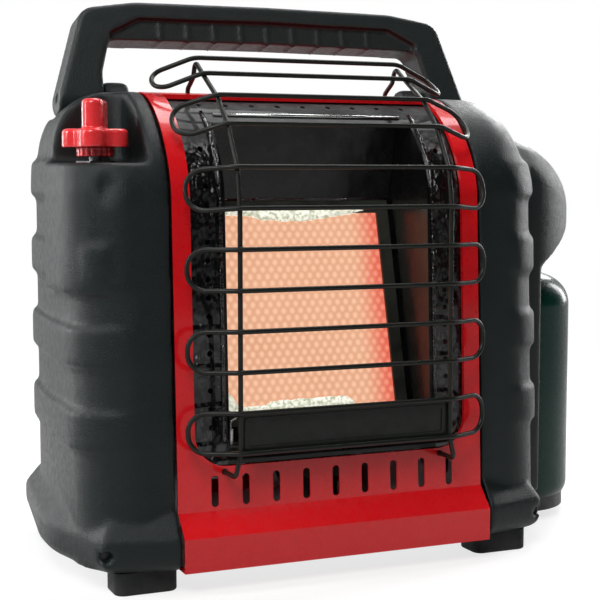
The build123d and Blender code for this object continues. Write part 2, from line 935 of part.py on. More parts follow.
# enamelled tray closing the chamber below, with a rounded nose over the opening's lower edge
with BuildPart() as lower_tray:
    with BuildSketch(side.offset(-opening_half)) as section:
        with BuildLine() as bend:
            FilletPolyline(
                (tray_front, opening_bottom + fit_gap + enamel),
                (tray_front, chamber_bottom - enamel),
                (shelf_y, chamber_bottom - enamel),
                (shelf_y, tile_bottom_z - burner_margin * cos(lean)),
                radius=[tray_nose, tray_nose / 2],
            )
            offset(amount=enamel / 2)
        make_face()
    extrude(amount=2 * opening_half)
    add(window(-fit_gap), mode=Mode.INTERSECT)
    with BuildSketch(plan.offset(chamber_bottom)) as beside_walls:
        for wall_side in (-1, 1):
            with Locations((wall_side * (chamber_half - fit_gap + opening_half / 2), shelf_y)):
                Rectangle(opening_half, 2 * bracket_width)
    extrude(amount=chamber_bottom, mode=Mode.SUBTRACT)
    with BuildSketch(plan) as pilot_ways:
        with Locations((pilot_x, pilot_y), (pilot_x + pilot_pitch, pilot_y)):
            Circle(thermocouple_radius + fit_gap)
    extrude(amount=case_top, mode=Mode.SUBTRACT)
save(lower_tray, "lower_tray")

# dark sheet closing the chamber above the tile, leaning forward to the flange
with BuildPart() as upper_reflector:
    with BuildSketch(side.offset(fit_gap - chamber_half)) as section:
        with BuildLine():
            Polyline(
                (tile_top_y + frame_lip, tile_top_z + burner_margin + frame_lip),
                (reflector_top_y, reflector_top_z),
                (reflector_top_y + enamel, reflector_top_z),
                (tile_top_y + frame_lip + enamel, tile_top_z + burner_margin + frame_lip),
                close=True,
            )
        make_face()
    extrude(amount=2 * (chamber_half - fit_gap))
save(upper_reflector, "upper_reflector")

# ribbed sheet across the top of the chassis that keeps heat off the case's roof
with BuildPart() as heat_shield:
    with BuildSketch(plan.offset(case_top - chassis_setback + fit_gap)) as roof:
        with Locations((0, (shield_front + shield_back) / 2)):
            Rectangle(2 * chassis_half, shield_back - shield_front)
            with GridLocations(0, shield_slot_pitch, 1, 3):
                SlotOverall(flange_half, 2 * pipe_radius, mode=Mode.SUBTRACT)
    extrude(amount=sheet)
save(heat_shield, "heat_shield")


# ================================================================ burner
with BuildPart() as ceramic_tile:
    with BuildSketch(burner) as face:
        with Locations((0, tile_height / 2)):
            RectangleRounded(tile_width, tile_height, frame_lip)
    extrude(amount=-tile_thickness)
save(ceramic_tile, "ceramic_tile")

window_width = tile_width - 2 * frame_overlap
window_height = tile_height - 2 * frame_overlap
with BuildPart() as tile_frame:
    with BuildSketch(burner) as border:
        with Locations((0, tile_height / 2)):
            Rectangle(frame_width, frame_height)
            Rectangle(window_width, window_height, mode=Mode.SUBTRACT)
    extrude(amount=frame_lip)
    with BuildSketch(burner) as edge:
        with Locations((0, tile_height / 2)):
            Rectangle(frame_width, frame_height)
            Rectangle(frame_width - 2 * plenum_sheet, frame_height - 2 * plenum_sheet, mode=Mode.SUBTRACT)
    extrude(amount=-tile_thickness)
save(tile_frame, "tile_frame")

with BuildPart() as tile_gasket:
    with BuildSketch(burner.offset(-tile_thickness)) as border:
        with Locations((0, tile_height / 2)):
            Rectangle(frame_width, frame_height)
            Rectangle(window_width, window_height, mode=Mode.SUBTRACT)
    extrude(amount=-gasket)
save(tile_gasket, "tile_gasket")

plenum_face = burner.offset(-tile_thickness - gasket)
with BuildPart() as burner_box:
    with BuildSketch(plenum_face) as outside:
        with Locations((0, tile_height / 2)):
            Rectangle(frame_width, frame_height)
    extrude(amount=-plenum_depth)
    with BuildSketch(plenum_face) as inside:
        with Locations((0, tile_height / 2)):
            Rectangle(frame_width - 2 * plenum_sheet, frame_height - 2 * plenum_sheet)
    extrude(amount=plenum_sheet - plenum_depth, mode=Mode.SUBTRACT)
    with BuildSketch(plan.offset(venturi_z)) as inlet:
        with Locations((venturi_up_x, venturi_y)):
            Circle(venturi_radius + running)
    extrude(amount=tile_height / 2, mode=Mode.SUBTRACT)
save(burner_box, "burner_box")

# angle brackets from the burner box's sides out to the chassis
with BuildPart() as burner_brackets:
    bracket_reach = flange_half + fit_gap - frame_width / 2
    bracket_x = frame_width / 2 + bracket_reach / 2
    with BuildSketch(burner.offset(-bracket_back)) as arms:
        for bracket_side in (-1, 1):
            with Locations((bracket_side * bracket_x, bracket_low), (bracket_side * bracket_x, bracket_high)):
                Rectangle(bracket_reach, bracket_width)
    extrude(amount=-sheet)
save(burner_brackets, "burner_brackets")


def tube(route, radius, bend, bore=0.0):
    """Tube along straight runs joined by bends, hollow if a bore is given."""
    with BuildPart() as pipe:
        with BuildLine() as path:
            FilletPolyline(*route, radius=bend)
        with BuildSketch(Plane(origin=path.line @ 0, z_dir=path.line % 0)) as section:
            Circle(radius)
            if bore:
                Circle(bore, mode=Mode.SUBTRACT)
        sweep(path=path.line)
    return pipe.part


venturi_bore = venturi_radius - plenum_sheet
with BuildPart() as venturi_tube:
    venturi_route = [
        point(venturi_mouth_x, venturi_y, venturi_z),
        point(venturi_up_x, venturi_y, venturi_z),
        point(venturi_up_x, venturi_y, venturi_top_z),
    ]
    add(tube(venturi_route, venturi_radius, venturi_bend, venturi_bore))
    with BuildSketch(at_depth(venturi_y)) as bell:
        with BuildLine():
            Polyline(
                (venturi_mouth_x, venturi_z + venturi_bore),
                (venturi_mouth_x, venturi_z + venturi_radius),
                (venturi_mouth_x - venturi_flare, venturi_z + venturi_radius + venturi_flare),
                (venturi_mouth_x - venturi_flare, venturi_z + venturi_bore + venturi_flare),
                close=True,
            )
        make_face()
    revolve(axis=Axis(point(0, venturi_y, venturi_z), (1, 0, 0)))
save(venturi_tube, "venturi_tube")

# brass jet that blows into the venturi's bell
with BuildPart() as orifice:
    with BuildSketch(side.offset(orifice_x)) as hexagon:
        with Locations((venturi_y, venturi_z)):
            RegularPolygon(orifice_across / 2, 6, major_radius=False)
    extrude(amount=orifice_across)
    with BuildSketch(side.offset(orifice_x + orifice_across)) as nozzle:
        with Locations((venturi_y, venturi_z)):
            Circle(orifice_across / 3)
    extrude(amount=orifice_across / 2, taper=12)
    with BuildSketch(side.offset(orifice_x)) as socket:
        with Locations((venturi_y, venturi_z)):
            Circle(pipe_radius + running)
    extrude(amount=orifice_across / 2, mode=Mode.SUBTRACT)
save(orifice, "orifice")

with BuildPart() as orifice_bracket:
    with BuildSketch(plan.offset(foot_height + 2 * sheet)) as upright:
        with Locations((orifice_x + orifice_across / 2, venturi_y)):
            Rectangle(2 * sheet, bracket_width)
    extrude(amount=venturi_z - foot_height - 2 * sheet)
    with BuildSketch(side.offset(orifice_x)) as cradle:
        with Locations((venturi_y, venturi_z)):
            RegularPolygon(orifice_across / 2 + fit_gap, 6, major_radius=False)
    extrude(amount=orifice_across, mode=Mode.SUBTRACT)
save(orifice_bracket, "orifice_bracket")


# ================================================================ pilot, thermocouple and spark electrode
pilot_shelf = chamber_bottom - enamel / 2
pilot_plate_top = pilot_shelf + enamel
thermocouple_x = pilot_x + pilot_pitch
electrode_x = pilot_x - pilot_pitch
with BuildPart() as pilot_bracket:
    with BuildSketch(plan.offset(pilot_shelf)) as plate:
        with Locations((pilot_x, pilot_y)):
            RectangleRounded(2 * pilot_pitch + 2 * pilot_radius, pilot_plate_depth, frame_lip)
            Circle(pilot_pipe_radius + fit_gap, mode=Mode.SUBTRACT)
        with Locations((thermocouple_x, pilot_y)):
            Circle(thermocouple_radius + running, mode=Mode.SUBTRACT)
    extrude(amount=enamel)
save(pilot_bracket, "pilot_bracket")

with BuildPart() as pilot_burner:
    with BuildSketch(plan.offset(pilot_plate_top)) as tip:
        with Locations((pilot_x, pilot_y)):
            Circle(pilot_radius)
            Circle(pilot_pipe_radius + running, mode=Mode.SUBTRACT)
    extrude(amount=pilot_top - pilot_plate_top)
    with BuildSketch(at_depth(pilot_y)) as flame_slot:
        with Locations((pilot_x, pilot_top)):
            Rectangle(pilot_radius, 2 * pilot_radius)
    extrude(amount=2 * pilot_radius, mode=Mode.SUBTRACT)
save(pilot_burner, "pilot_burner")

with BuildPart() as thermocouple:
    with BuildSketch(plan.offset(thermocouple_bottom)) as rod:
        with Locations((thermocouple_x, pilot_y)):
            Circle(thermocouple_radius)
    extrude(amount=thermocouple_top - thermocouple_bottom)
    fillet(thermocouple.faces().sort_by(Axis.Z)[-1].edges(), radius=thermocouple_radius / 2)
save(thermocouple, "thermocouple")

with BuildPart() as spark_electrode:
    with BuildSketch(plan.offset(pilot_plate_top)) as insulator:
        with Locations((electrode_x, pilot_y)):
            Circle(electrode_radius)
    extrude(amount=electrode_top - pilot_plate_top)
    electrode_route = [
        point(electrode_x, pilot_y, electrode_top - electrode_radius),
        point(electrode_x, pilot_y, pilot_top),
        point(pilot_x - pilot_radius - 2 * electrode_wire, pilot_y, pilot_top + electrode_radius),
    ]
    add(tube(electrode_route, electrode_wire, electrode_radius))
save(spark_electrode, "spark_electrode")


# ================================================================ gas valve, stem and knob
with BuildPart() as gas_valve:
    with BuildSketch(plan.offset(valve_bottom)) as barrel:
        with Locations((knob_x, knob_y)):
            Circle(valve_radius)
    extrude(amount=valve_top - valve_bottom)
    with BuildSketch(at_depth(knob_y)) as inlet_port:
        with Locations((knob_x, port_z)):
            Circle(port_radius)
    extrude(amount=-port_reach)
    with BuildSketch(plan.offset(valve_bottom - outlet_drop)) as outlet_port:
        with Locations((knob_x, knob_y)):
            Circle(port_radius)
    extrude(amount=2 * outlet_drop)
    with BuildSketch(side.offset(knob_x)) as pilot_port:
        with Locations((knob_y, pilot_port_z)):
            Circle(pilot_port_radius)
    extrude(amount=pilot_port_reach)
    with BuildSketch(plan.offset(plug_bottom)) as plug_chamber:
        with Locations((knob_x, knob_y)):
            Circle(plug_radius + running)
    extrude(amount=plug_top - plug_bottom, mode=Mode.SUBTRACT)
    with BuildSketch(plan.offset(stem_bottom - knob_travel - 2 * stem_gap)) as stem_bore:
        with Locations((knob_x, knob_y)):
            Circle(stem_radius + 2 * running)
    extrude(amount=valve_top, mode=Mode.SUBTRACT)
    with BuildSketch(at_depth(knob_y + port_reach)) as inlet_socket:
        with Locations((knob_x, port_z)):
            Circle(pipe_radius + running)
    extrude(amount=pipe_socket, mode=Mode.SUBTRACT)
    with BuildSketch(plan.offset(valve_bottom - outlet_drop)) as outlet_socket:
        with Locations((knob_x, knob_y)):
            Circle(pipe_radius + running)
    extrude(amount=pipe_socket, mode=Mode.SUBTRACT)
    with BuildSketch(side.offset(knob_x + pilot_port_reach)) as pilot_socket:
        with Locations((knob_y, pilot_port_z)):
            Circle(pilot_pipe_radius + running)
    extrude(amount=-pipe_socket / 2, mode=Mode.SUBTRACT)
save(gas_valve, "gas_valve")

with BuildPart() as valve_plug:
    with BuildSketch(plan.offset(plug_bottom + running)) as plug:
        with Locations((knob_x, knob_y)):
            Circle(plug_radius)
            Circle(stem_radius + running, mode=Mode.SUBTRACT)
    extrude(amount=plug_top - plug_bottom - 2 * running)
save(valve_plug, "valve_plug")

stem_collar_top = bonnet_bottom - stem_gap
stem_collar_bottom = stem_collar_top - stem_collar_length
with BuildPart() as valve_stem:
    with BuildSketch(plan.offset(stem_bottom)) as rod:
        with Locations((knob_x, knob_y)):
            Circle(stem_radius)
    extrude(amount=stem_top - stem_bottom)
    with BuildSketch(plan.offset(stem_collar_bottom)) as collar:
        with Locations((knob_x, knob_y)):
            Circle(stem_collar)
    extrude(amount=stem_collar_length)
save(valve_stem, "valve_stem")

spring_bottom = valve_top + spring_wire / 2 + running
spring_length = stem_collar_bottom - spring_wire / 2 - running - spring_bottom
with BuildPart() as stem_spring:
    with BuildLine() as coil:
        Helix(
            spring_length / spring_turns,
            spring_length,
            spring_radius,
            center=point(knob_x, knob_y, spring_bottom),
        )
    with BuildSketch(Plane(origin=coil.line @ 0, z_dir=coil.line % 0)) as section:
        Circle(spring_wire / 2)
    sweep(path=coil.line, is_frenet=True)
save(stem_spring, "stem_spring")

with BuildPart() as bonnet_nut:
    with BuildSketch(plan.offset(bonnet_bottom)) as sleeve:
        with Locations((knob_x, knob_y)):
            Circle(bonnet_radius)
    extrude(amount=pocket_floor - bonnet_bottom)
    with BuildSketch(plan.offset(pocket_floor)) as flange:
        with Locations((knob_x, knob_y)):
            RegularPolygon(bonnet_flange, 6)
    extrude(amount=bonnet_flange_thickness)
    with BuildSketch(plan.offset(bonnet_bottom)) as bore:
        with Locations((knob_x, knob_y)):
            Circle(stem_radius + fit_gap)
    extrude(amount=2 * bonnet_radius, mode=Mode.SUBTRACT)
save(bonnet_nut, "bonnet_nut")

knob_lobe_reach = knob_span / 2 - knob_lobe
with BuildPart() as knob:
    with BuildSketch(plan.offset(knob_flange_bottom)) as flange:
        with Locations((knob_x, knob_y)):
            Circle(knob_core)
            with PolarLocations(knob_lobe_reach, knob_lobes, knob_angle):
                Circle(knob_lobe)
        fillet(flange.vertices(), radius=knob_lobe / 2)
    extrude(amount=knob_flange)
    fillet(knob.faces().sort_by(Axis.Z)[-1].edges(), radius=knob_flange / 4)
    with BuildSketch(plan.offset(knob_flange_bottom)) as blade:
        with Locations((knob_x, knob_y)):
            SlotOverall(knob_blade_length, knob_blade, rotation=knob_angle)
    extrude(amount=knob_height - knob_flange_bottom)
    fillet(knob.faces().sort_by(Axis.Z)[-1].edges(), radius=knob_blade / 4)
    with BuildSketch(plan.offset(hub_bottom)) as hub:
        with Locations((knob_x, knob_y)):
            Circle(hub_radius)
            with PolarLocations(hub_radius, hub_grooves):
                Circle(hub_groove, mode=Mode.SUBTRACT)
    extrude(amount=knob_flange_bottom - hub_bottom)
    with BuildSketch(plan.offset(hub_bottom)) as stem_socket:
        with Locations((knob_x, knob_y)):
            Circle(stem_radius)
    extrude(amount=stem_top - hub_bottom, mode=Mode.SUBTRACT)
save(knob, "knob")

# folded sheet that holds the valve's inlet port and is fixed to the chassis
with BuildPart() as valve_bracket:
    with BuildSketch(at_depth(bracket_y)) as plate:
        with Locations((-(bracket_outer_x + chassis_half) / 2, (bracket_bottom_z + valve_top) / 2)):
            Rectangle(bracket_outer_x - chassis_half, valve_top - bracket_bottom_z)
        with Locations((knob_x, port_z)):
            Circle(port_radius + running, mode=Mode.SUBTRACT)
    extrude(amount=-sheet)
    with BuildSketch(at_depth(bracket_y)) as fold:
        with Locations((-chassis_half - sheet / 2, (bracket_bottom_z + valve_top) / 2)):
            Rectangle(sheet, valve_top - bracket_bottom_z)
    extrude(amount=-bracket_flange)
save(valve_bracket, "valve_bracket")

with BuildPart() as piezo_igniter:
    with BuildSketch(plan.offset(igniter_bottom)) as barrel:
        with Locations((igniter_x, igniter_y)):
            Circle(igniter_radius)
    extrude(amount=igniter_top - igniter_bottom)
    fillet(piezo_igniter.edges().filter_by(GeomType.CIRCLE), radius=igniter_radius / 4)
save(piezo_igniter, "piezo_igniter")


# ================================================================ pipes
with BuildPart() as gas_pipe:
    add(tube([
        point(elbow_inner_x + pipe_socket - fit_gap, elbow_y, swing_z),
        point(knob_x, elbow_y, port_z),
        point(knob_x, knob_y + port_reach - pipe_socket + fit_gap, port_z),
    ], pipe_radius, pipe_bend))
save(gas_pipe, "gas_pipe")

with BuildPart() as burner_pipe:
    add(tube([
        point(knob_x, knob_y, valve_bottom - outlet_drop + pipe_socket - fit_gap),
        point(knob_x, knob_y, bracket_bottom_z - pipe_bend),
        point(knob_x, venturi_y, bracket_bottom_z - 3 * pipe_bend),
        point(knob_x, venturi_y, venturi_z),
        point(orifice_x + orifice_across / 2 - fit_gap, venturi_y, venturi_z),
    ], pipe_radius, pipe_bend))
save(burner_pipe, "burner_pipe")

with BuildPart() as pilot_pipe:
    add(tube([
        point(knob_x + pilot_port_reach - pipe_socket / 2 + fit_gap, knob_y, pilot_port_z),
        point(pilot_drop_x, knob_y, pilot_port_z),
        point(pilot_drop_x, knob_y, pilot_run_z),
        point(pilot_x, pilot_y, pilot_run_z),
        point(pilot_x, pilot_y, (pilot_plate_top + pilot_top) / 2),
    ], pilot_pipe_radius, pilot_pipe_radius * 2))
save(pilot_pipe, "pilot_pipe")


# ================================================================ wire guard and hot plate
rungs = [(-guard_reach, rung_first + i * rung_pitch) for i in range(upright_rungs)] + list(shoulder_rungs)


def half_loop(low, high):
    """Right half of a loop of guard wire: two rungs joined by a rounded end that is set back from them."""
    climb = hypot(high[0] - low[0], high[1] - low[1])
    back_y = rung_end_back * (high[1] - low[1]) / climb
    back_z = rung_end_back * (low[0] - high[0]) / climb
    route = [
        point(0, low[0], low[1]),
        point(rung_half, low[0], low[1]),
        point(rung_end_x, low[0] + back_y, low[1] + back_z),
        point(rung_end_x, high[0] + back_y, high[1] + back_z),
        point(rung_half, high[0], high[1]),
        point(0, high[0], high[1]),
    ]
    end_bend = end_fullness * climb
    return tube(route, wire / 2, [rung_bend, end_bend, end_bend, rung_bend])


def tucked(i):
    """Where an upright wire runs right behind a rung."""
    before = rungs[i - 1]
    after = rungs[min(i + 1, len(rungs) - 1)]
    span = hypot(after[0] - before[0], after[1] - before[1])
    tuck = wire - guard_weld
    y = rungs[i][0] + tuck * (after[1] - before[1]) / span
    z = rungs[i][1] + tuck * (before[0] - after[0]) / span
    return point(vertical_x, y, z)


upright_y = wire - guard_weld - guard_reach
with BuildPart() as wire_guard:
    upright_route = [
        point(leg_x, hook_inner_y, hook_z),
        point(leg_x, upright_y, hook_z),
        point(vertical_x, upright_y, rung_first),
        *[tucked(i) for i in range(upright_rungs - 1, len(rungs))],
        point(vertical_x, guard_knee_y, guard_knee_z),
        point(vertical_x, guard_heel_y, guard_heel_z),
        point(vertical_x, guard_heel_y, guard_end_z),
    ]
    bends = [leg_bend, shoulder_bend] + [shoulder_bend] * (len(shoulder_rungs)) + [leg_bend] * 3
    add(tube(upright_route, wire / 2, bends))
    for i in range(0, len(rungs), 2):
        add(half_loop(rungs[i], rungs[i + 1]))
    mirror(about=side)
save(wire_guard, "wire_guard")

# pressed plate behind the lowest two rungs, bare but for a raised rim
with BuildPart() as hot_plate:
    plate_front = upright_y + wire / 2 + running
    with BuildSketch(at_depth(plate_front)) as plate:
        with Locations((0, rung_first + hot_plate_height / 2)):
            RectangleRounded(2 * vertical_x, hot_plate_height, hot_plate_rim)
    extrude(amount=-enamel)
    with BuildSketch(at_depth(plate_front)) as rim:
        with Locations((0, rung_first + hot_plate_height / 2)):
            outer_width = 2 * (vertical_x - wire)
            outer_height = hot_plate_height - hot_plate_rim
            RectangleRounded(outer_width, outer_height, hot_plate_rim)
            RectangleRounded(
                outer_width - 2 * hot_plate_rim,
                outer_height - 2 * hot_plate_rim,
                hot_plate_rim / 2,
                mode=Mode.SUBTRACT,
            )
    extrude(amount=hot_plate_rise)
save(hot_plate, "hot_plate")


# ================================================================ folding handle
handle_front = pivot_y - arm_end_radius
handle_underside = handle_top - handle_bar


def handle_view(depth, inset):
    """Front view of the upright handle, moved in by inset: arched grip and two splayed arms."""
    arm_foot = pivot_z - arm_end_radius - handle_wall
    with BuildSketch(at_depth(depth)) as view:
        with BuildLine():
            rounded = FilletPolyline(
                (0, handle_top),
                (handle_crown_x, handle_crown_z),
                (handle_corner_x, handle_corner_z),
                (arm_outer, pivot_z),
                (arm_outer, arm_foot),
                (arm_inner, arm_foot),
                (arm_inner, handle_knee_z),
                (handle_inner_x, handle_inner_z),
                (0, handle_underside),
                radius=[
                    handle_bow,
                    handle_corner,
                    handle_bow / 2,
                    handle_gap,
                    handle_gap,
                    handle_corner,
                    handle_inner_corner,
                ],
            )
            Line(rounded @ 1, rounded @ 0)
        make_face()
        mirror(about=Plane.YZ)
        if inset:
            offset(amount=-inset, kind=Kind.INTERSECTION)
    return view.sketch


def grip_relief(grow):
    """Step along the grip's lower front, below its flat face, grown by grow."""
    with BuildPart() as relief:
        with BuildSketch(at_depth(handle_front + grip_step + grow)) as view:
            with BuildLine():
                Polyline(
                    (0, handle_top - grip_face + grow),
                    (grip_face_end_x, handle_crown_z - grip_face + grow),
                    (handle_inner_x + grow, handle_inner_z + handle_inner_corner / 2),
                    (handle_inner_x + grow, handle_inner_z - handle_inner_corner),
                    (0, handle_inner_z - handle_inner_corner),
                    close=True,
                )
            make_face()
            mirror(about=Plane.YZ)
        extrude(amount=handle_depth)
    return relief.part


def arm_side(inset):
    """Side view that rounds the arms' feet about the pivot."""
    with BuildPart() as envelope:
        with BuildSketch(side.offset(-skirt_reach)) as view:
            with Locations((pivot_y + inset / 2, pivot_z + handle_top / 2)):
                Rectangle(handle_depth + inset * 3, handle_top)
            with Locations((pivot_y, pivot_z)):
                Circle(arm_end_radius - inset)
        extrude(amount=2 * skirt_reach)
    return envelope.part


with BuildPart() as handle_hollow:
    extrude(handle_view(handle_front + handle_wall, handle_wall), amount=-2 * handle_depth)
    add(arm_side(handle_wall), mode=Mode.INTERSECT)
    add(grip_relief(handle_wall), mode=Mode.SUBTRACT)

with BuildPart() as upright_handle:
    extrude(handle_view(handle_front, 0), amount=-handle_depth)
    fillet(upright_handle.faces().sort_by(Axis.Y)[0].edges(), radius=handle_edge)
    add(arm_side(0), mode=Mode.INTERSECT)
    add(grip_relief(0), mode=Mode.SUBTRACT)
    add(handle_hollow.part, mode=Mode.SUBTRACT)
    with BuildSketch(at_depth(handle_front + grip_step - grip_rib_proud)) as ribs:
        with Locations((0, handle_underside - grip_ridge + grip_rib_height / 2)):
            with GridLocations(grip_pitch, 0, grip_ridges, 1):
                SlotOverall(grip_rib_height, grip_rib, rotation=90)
    extrude(amount=grip_step + handle_edge - handle_depth)
    with BuildSketch(side.offset(-skirt_reach)) as pin_bore:
        with Locations((pivot_y, pivot_z)):
            Circle(pin_radius + running)
    extrude(amount=2 * skirt_reach, mode=Mode.SUBTRACT)

# the handle stands leaning back about its pins
with BuildPart() as handle:
    pivot_axis = Axis(point(0, pivot_y, pivot_z), (1, 0, 0))
    add(upright_handle.part.rotate(pivot_axis, -handle_lean))
save(handle, "handle")

with BuildPart() as handle_pins:
    with BuildSketch(side.offset(pin_inner)) as shank:
        with Locations((pivot_y, pivot_z)):
            Circle(pin_radius)
    extrude(amount=arm_inner + handle_wall + fit_gap + pin_head_length - pin_inner)
    with BuildSketch(side.offset(arm_inner + handle_wall + fit_gap)) as head:
        with Locations((pivot_y, pivot_z)):
            Circle(pin_head)
    extrude(amount=pin_head_length)
    mirror(about=side)
save(handle_pins, "handle_pins")


# ================================================================ swivel, regulator and inlet nut
with BuildPart() as swivel_elbow:
    with BuildSketch(side.offset(elbow_inner_x)) as run:
        with Locations((elbow_y, swing_z)):
            Circle(elbow_radius)
    extrude(amount=cylinder_x - elbow_inner_x)
    with BuildSketch(at_depth(elbow_rear_y)) as swivel:
        with Locations((cylinder_x, swing_z)):
            Circle(elbow_body)
    extrude(amount=elbow_rear_y - elbow_front_y)
    with BuildSketch(at_depth(elbow_front_y)) as stub:
        with Locations((cylinder_x, swing_z)):
            Circle(stub_radius)
    extrude(amount=stub_length)
    with BuildSketch(side.offset(elbow_inner_x)) as socket:
        with Locations((elbow_y, swing_z)):
            Circle(pipe_radius + running)
    extrude(amount=pipe_socket, mode=Mode.SUBTRACT)
save(swivel_elbow, "swivel_elbow")

with BuildPart() as bulkhead_nut:
    with BuildSketch(side.offset(bulkhead_nut_x)) as hexagon:
        with Locations((elbow_y, swing_z)):
            RegularPolygon(bulkhead_nut_across / 2, 6, major_radius=False)
            Circle(elbow_radius + running, mode=Mode.SUBTRACT)
    extrude(amount=bulkhead_nut_length)
save(bulkhead_nut, "bulkhead_nut")

drum_rear_y = elbow_front_y - fit_gap
drum_front_y = drum_rear_y - drum_length
spigot_bottom = nut_top + fit_gap - spigot_length
with BuildPart() as regulator_body:
    with BuildSketch(at_depth(drum_rear_y)) as drum:
        with Locations((cylinder_x, swing_z)):
            Circle(drum_radius)
    extrude(amount=drum_length)
    fillet(regulator_body.faces().sort_by(Axis.Y)[-1].edges(), radius=cap_edge)
    with BuildSketch(plan.offset(nut_top + fit_gap)) as neck:
        with Locations((cylinder_x, cylinder_y)):
            Circle(neck_radius)
    extrude(amount=swing_z - nut_top)
    with BuildSketch(plan.offset(spigot_bottom)) as spigot:
        with Locations((cylinder_x, cylinder_y)):
            Circle(spigot_radius)
    extrude(amount=2 * spigot_length)
    with BuildSketch(at_depth(drum_front_y)) as bowl:
        with Locations((cylinder_x, swing_z)):
            Circle(bowl_radius)
    extrude(amount=-bowl_depth, mode=Mode.SUBTRACT)
    with BuildSketch(at_depth(drum_rear_y)) as stub_socket:
        with Locations((cylinder_x, swing_z)):
            Circle(stub_radius + running)
    extrude(amount=stub_length, mode=Mode.SUBTRACT)
    with BuildSketch(plan.offset(spigot_bottom)) as probe_socket:
        with Locations((cylinder_x, cylinder_y)):
            Circle(probe_radius + running)
    extrude(amount=probe_length / 2, mode=Mode.SUBTRACT)
save(regulator_body, "regulator_body")

cap_rear_y = drum_front_y - diaphragm
with BuildPart() as regulator_diaphragm:
    with BuildSketch(at_depth(drum_front_y)) as disc:
        with Locations((cylinder_x, swing_z)):
            Circle(drum_radius - cap_edge)
    extrude(amount=diaphragm)
save(regulator_diaphragm, "regulator_diaphragm")

with BuildPart() as regulator_cap:
    with BuildSketch(at_depth(cap_rear_y)) as disc:
        with Locations((cylinder_x, swing_z)):
            Circle(drum_radius)
    extrude(amount=cap_length)
    fillet(regulator_cap.faces().sort_by(Axis.Y)[0].edges(), radius=cap_edge)
    with BuildSketch(at_depth(cap_rear_y)) as inside:
        with Locations((cylinder_x, swing_z)):
            Circle(bowl_radius)
    extrude(amount=cap_length - sheet, mode=Mode.SUBTRACT)
    with BuildSketch(at_depth(cap_rear_y - cap_length + sheet)) as vent:
        with Locations((cylinder_x, swing_z + vent_offset)):
            Circle(vent_radius)
    extrude(amount=2 * sheet)
save(regulator_cap, "regulator_cap")

with BuildPart() as inlet_nut:
    with BuildSketch(plan.offset(nut_bottom)) as rim:
        with Locations((cylinder_x, cylinder_y)):
            Circle(nut_radius)
            with PolarLocations(nut_radius + nut_flute / 2, nut_flutes):
                Circle(nut_flute, mode=Mode.SUBTRACT)
    extrude(amount=nut_top - nut_bottom)
    with BuildSketch(plan.offset(nut_bottom)) as thread_bore:
        with Locations((cylinder_x, cylinder_y)):
            Circle(collar_radius + running)
    extrude(amount=collar_top + seal_gap - nut_bottom, mode=Mode.SUBTRACT)
    with BuildSketch(plan.offset(nut_bottom)) as spigot_bore:
        with Locations((cylinder_x, cylinder_y)):
            Circle(spigot_radius + running)
    extrude(amount=2 * nut_top, mode=Mode.SUBTRACT)
save(inlet_nut, "inlet_nut")

with BuildPart() as inlet_seal:
    with BuildSketch(plan.offset(spigot_bottom - running - seal_thickness)) as ring:
        with Locations((cylinder_x, cylinder_y)):
            Circle(spigot_radius)
            Circle(seal_inner, mode=Mode.SUBTRACT)
    extrude(amount=seal_thickness)
save(inlet_seal, "inlet_seal")

with BuildPart() as inlet_probe:
    with BuildSketch(plan.offset(spigot_bottom + probe_length / 2 - fit_gap - probe_length)) as rod:
        with Locations((cylinder_x, cylinder_y)):
            Circle(probe_radius)
    extrude(amount=probe_length)
save(inlet_probe, "inlet_probe")


# ================================================================ gas cylinder
def cylinder_solid(inset):
    """Solid of revolution inside the cylinder's outline, moved in by inset."""
    outer = cylinder_radius - inset
    shoulder_top = cylinder_shoulder_top - inset
    low = cylinder_bottom + foot_ring_lift + inset
    heel = cylinder_heel - inset
    with BuildPart() as solid:
        with BuildSketch(at_depth(cylinder_y)) as section:
            with BuildLine():
                Polyline(
                    (cylinder_x + heel, low),
                    (cylinder_x, low + cylinder_dish - foot_ring_lift),
                    (cylinder_x, shoulder_top),
                    (cylinder_x + collar_flange, shoulder_top),
                )
                Bezier(
                    (cylinder_x + collar_flange, shoulder_top),
                    (cylinder_x + (collar_flange + outer) / 2, shoulder_top),
                    (cylinder_x + outer, (cylinder_straight_top + 2 * shoulder_top) / 3),
                    (cylinder_x + outer, cylinder_straight_top),
                )
                Line(
                    (cylinder_x + outer, cylinder_straight_top),
                    (cylinder_x + outer, low + cylinder_heel_rise),
                )
                Bezier(
                    (cylinder_x + outer, low + cylinder_heel_rise),
                    (cylinder_x + outer, low + cylinder_heel_rise / 3),
                    (cylinder_x + (heel + outer) / 2, low),
                    (cylinder_x + heel, low),
                )
            make_face()
        revolve(axis=Axis(point(cylinder_x, cylinder_y, 0), (0, 0, 1)))
    return solid.part


def upright_disc(x, y, low, high, radius):
    """Round column between two heights."""
    with BuildPart() as column:
        with BuildSketch(plan.offset(low)) as circle:
            with Locations((x, y)):
                Circle(radius)
        extrude(amount=high - low)
    return column.part


relief_y = cylinder_y + relief_offset
with BuildPart() as cylinder_shell:
    add(cylinder_solid(0))
    add(cylinder_solid(cylinder_wall), mode=Mode.SUBTRACT)
    add(
        upright_disc(cylinder_x, cylinder_y, cylinder_straight_top, collar_top, collar_radius + running),
        mode=Mode.SUBTRACT,
    )
    add(
        upright_disc(cylinder_x, relief_y, cylinder_straight_top, collar_top, relief_radius + running),
        mode=Mode.SUBTRACT,
    )
save(cylinder_shell, "cylinder_shell")

with BuildPart() as cylinder_foot:
    add(upright_disc(cylinder_x, cylinder_y, cylinder_bottom, foot_ring_top, foot_ring_outer))
    add(
        upright_disc(cylinder_x, cylinder_y, cylinder_bottom, foot_ring_top, foot_ring_inner),
        mode=Mode.SUBTRACT,
    )
    add(cylinder_solid(-running), mode=Mode.SUBTRACT)
save(cylinder_foot, "cylinder_foot")

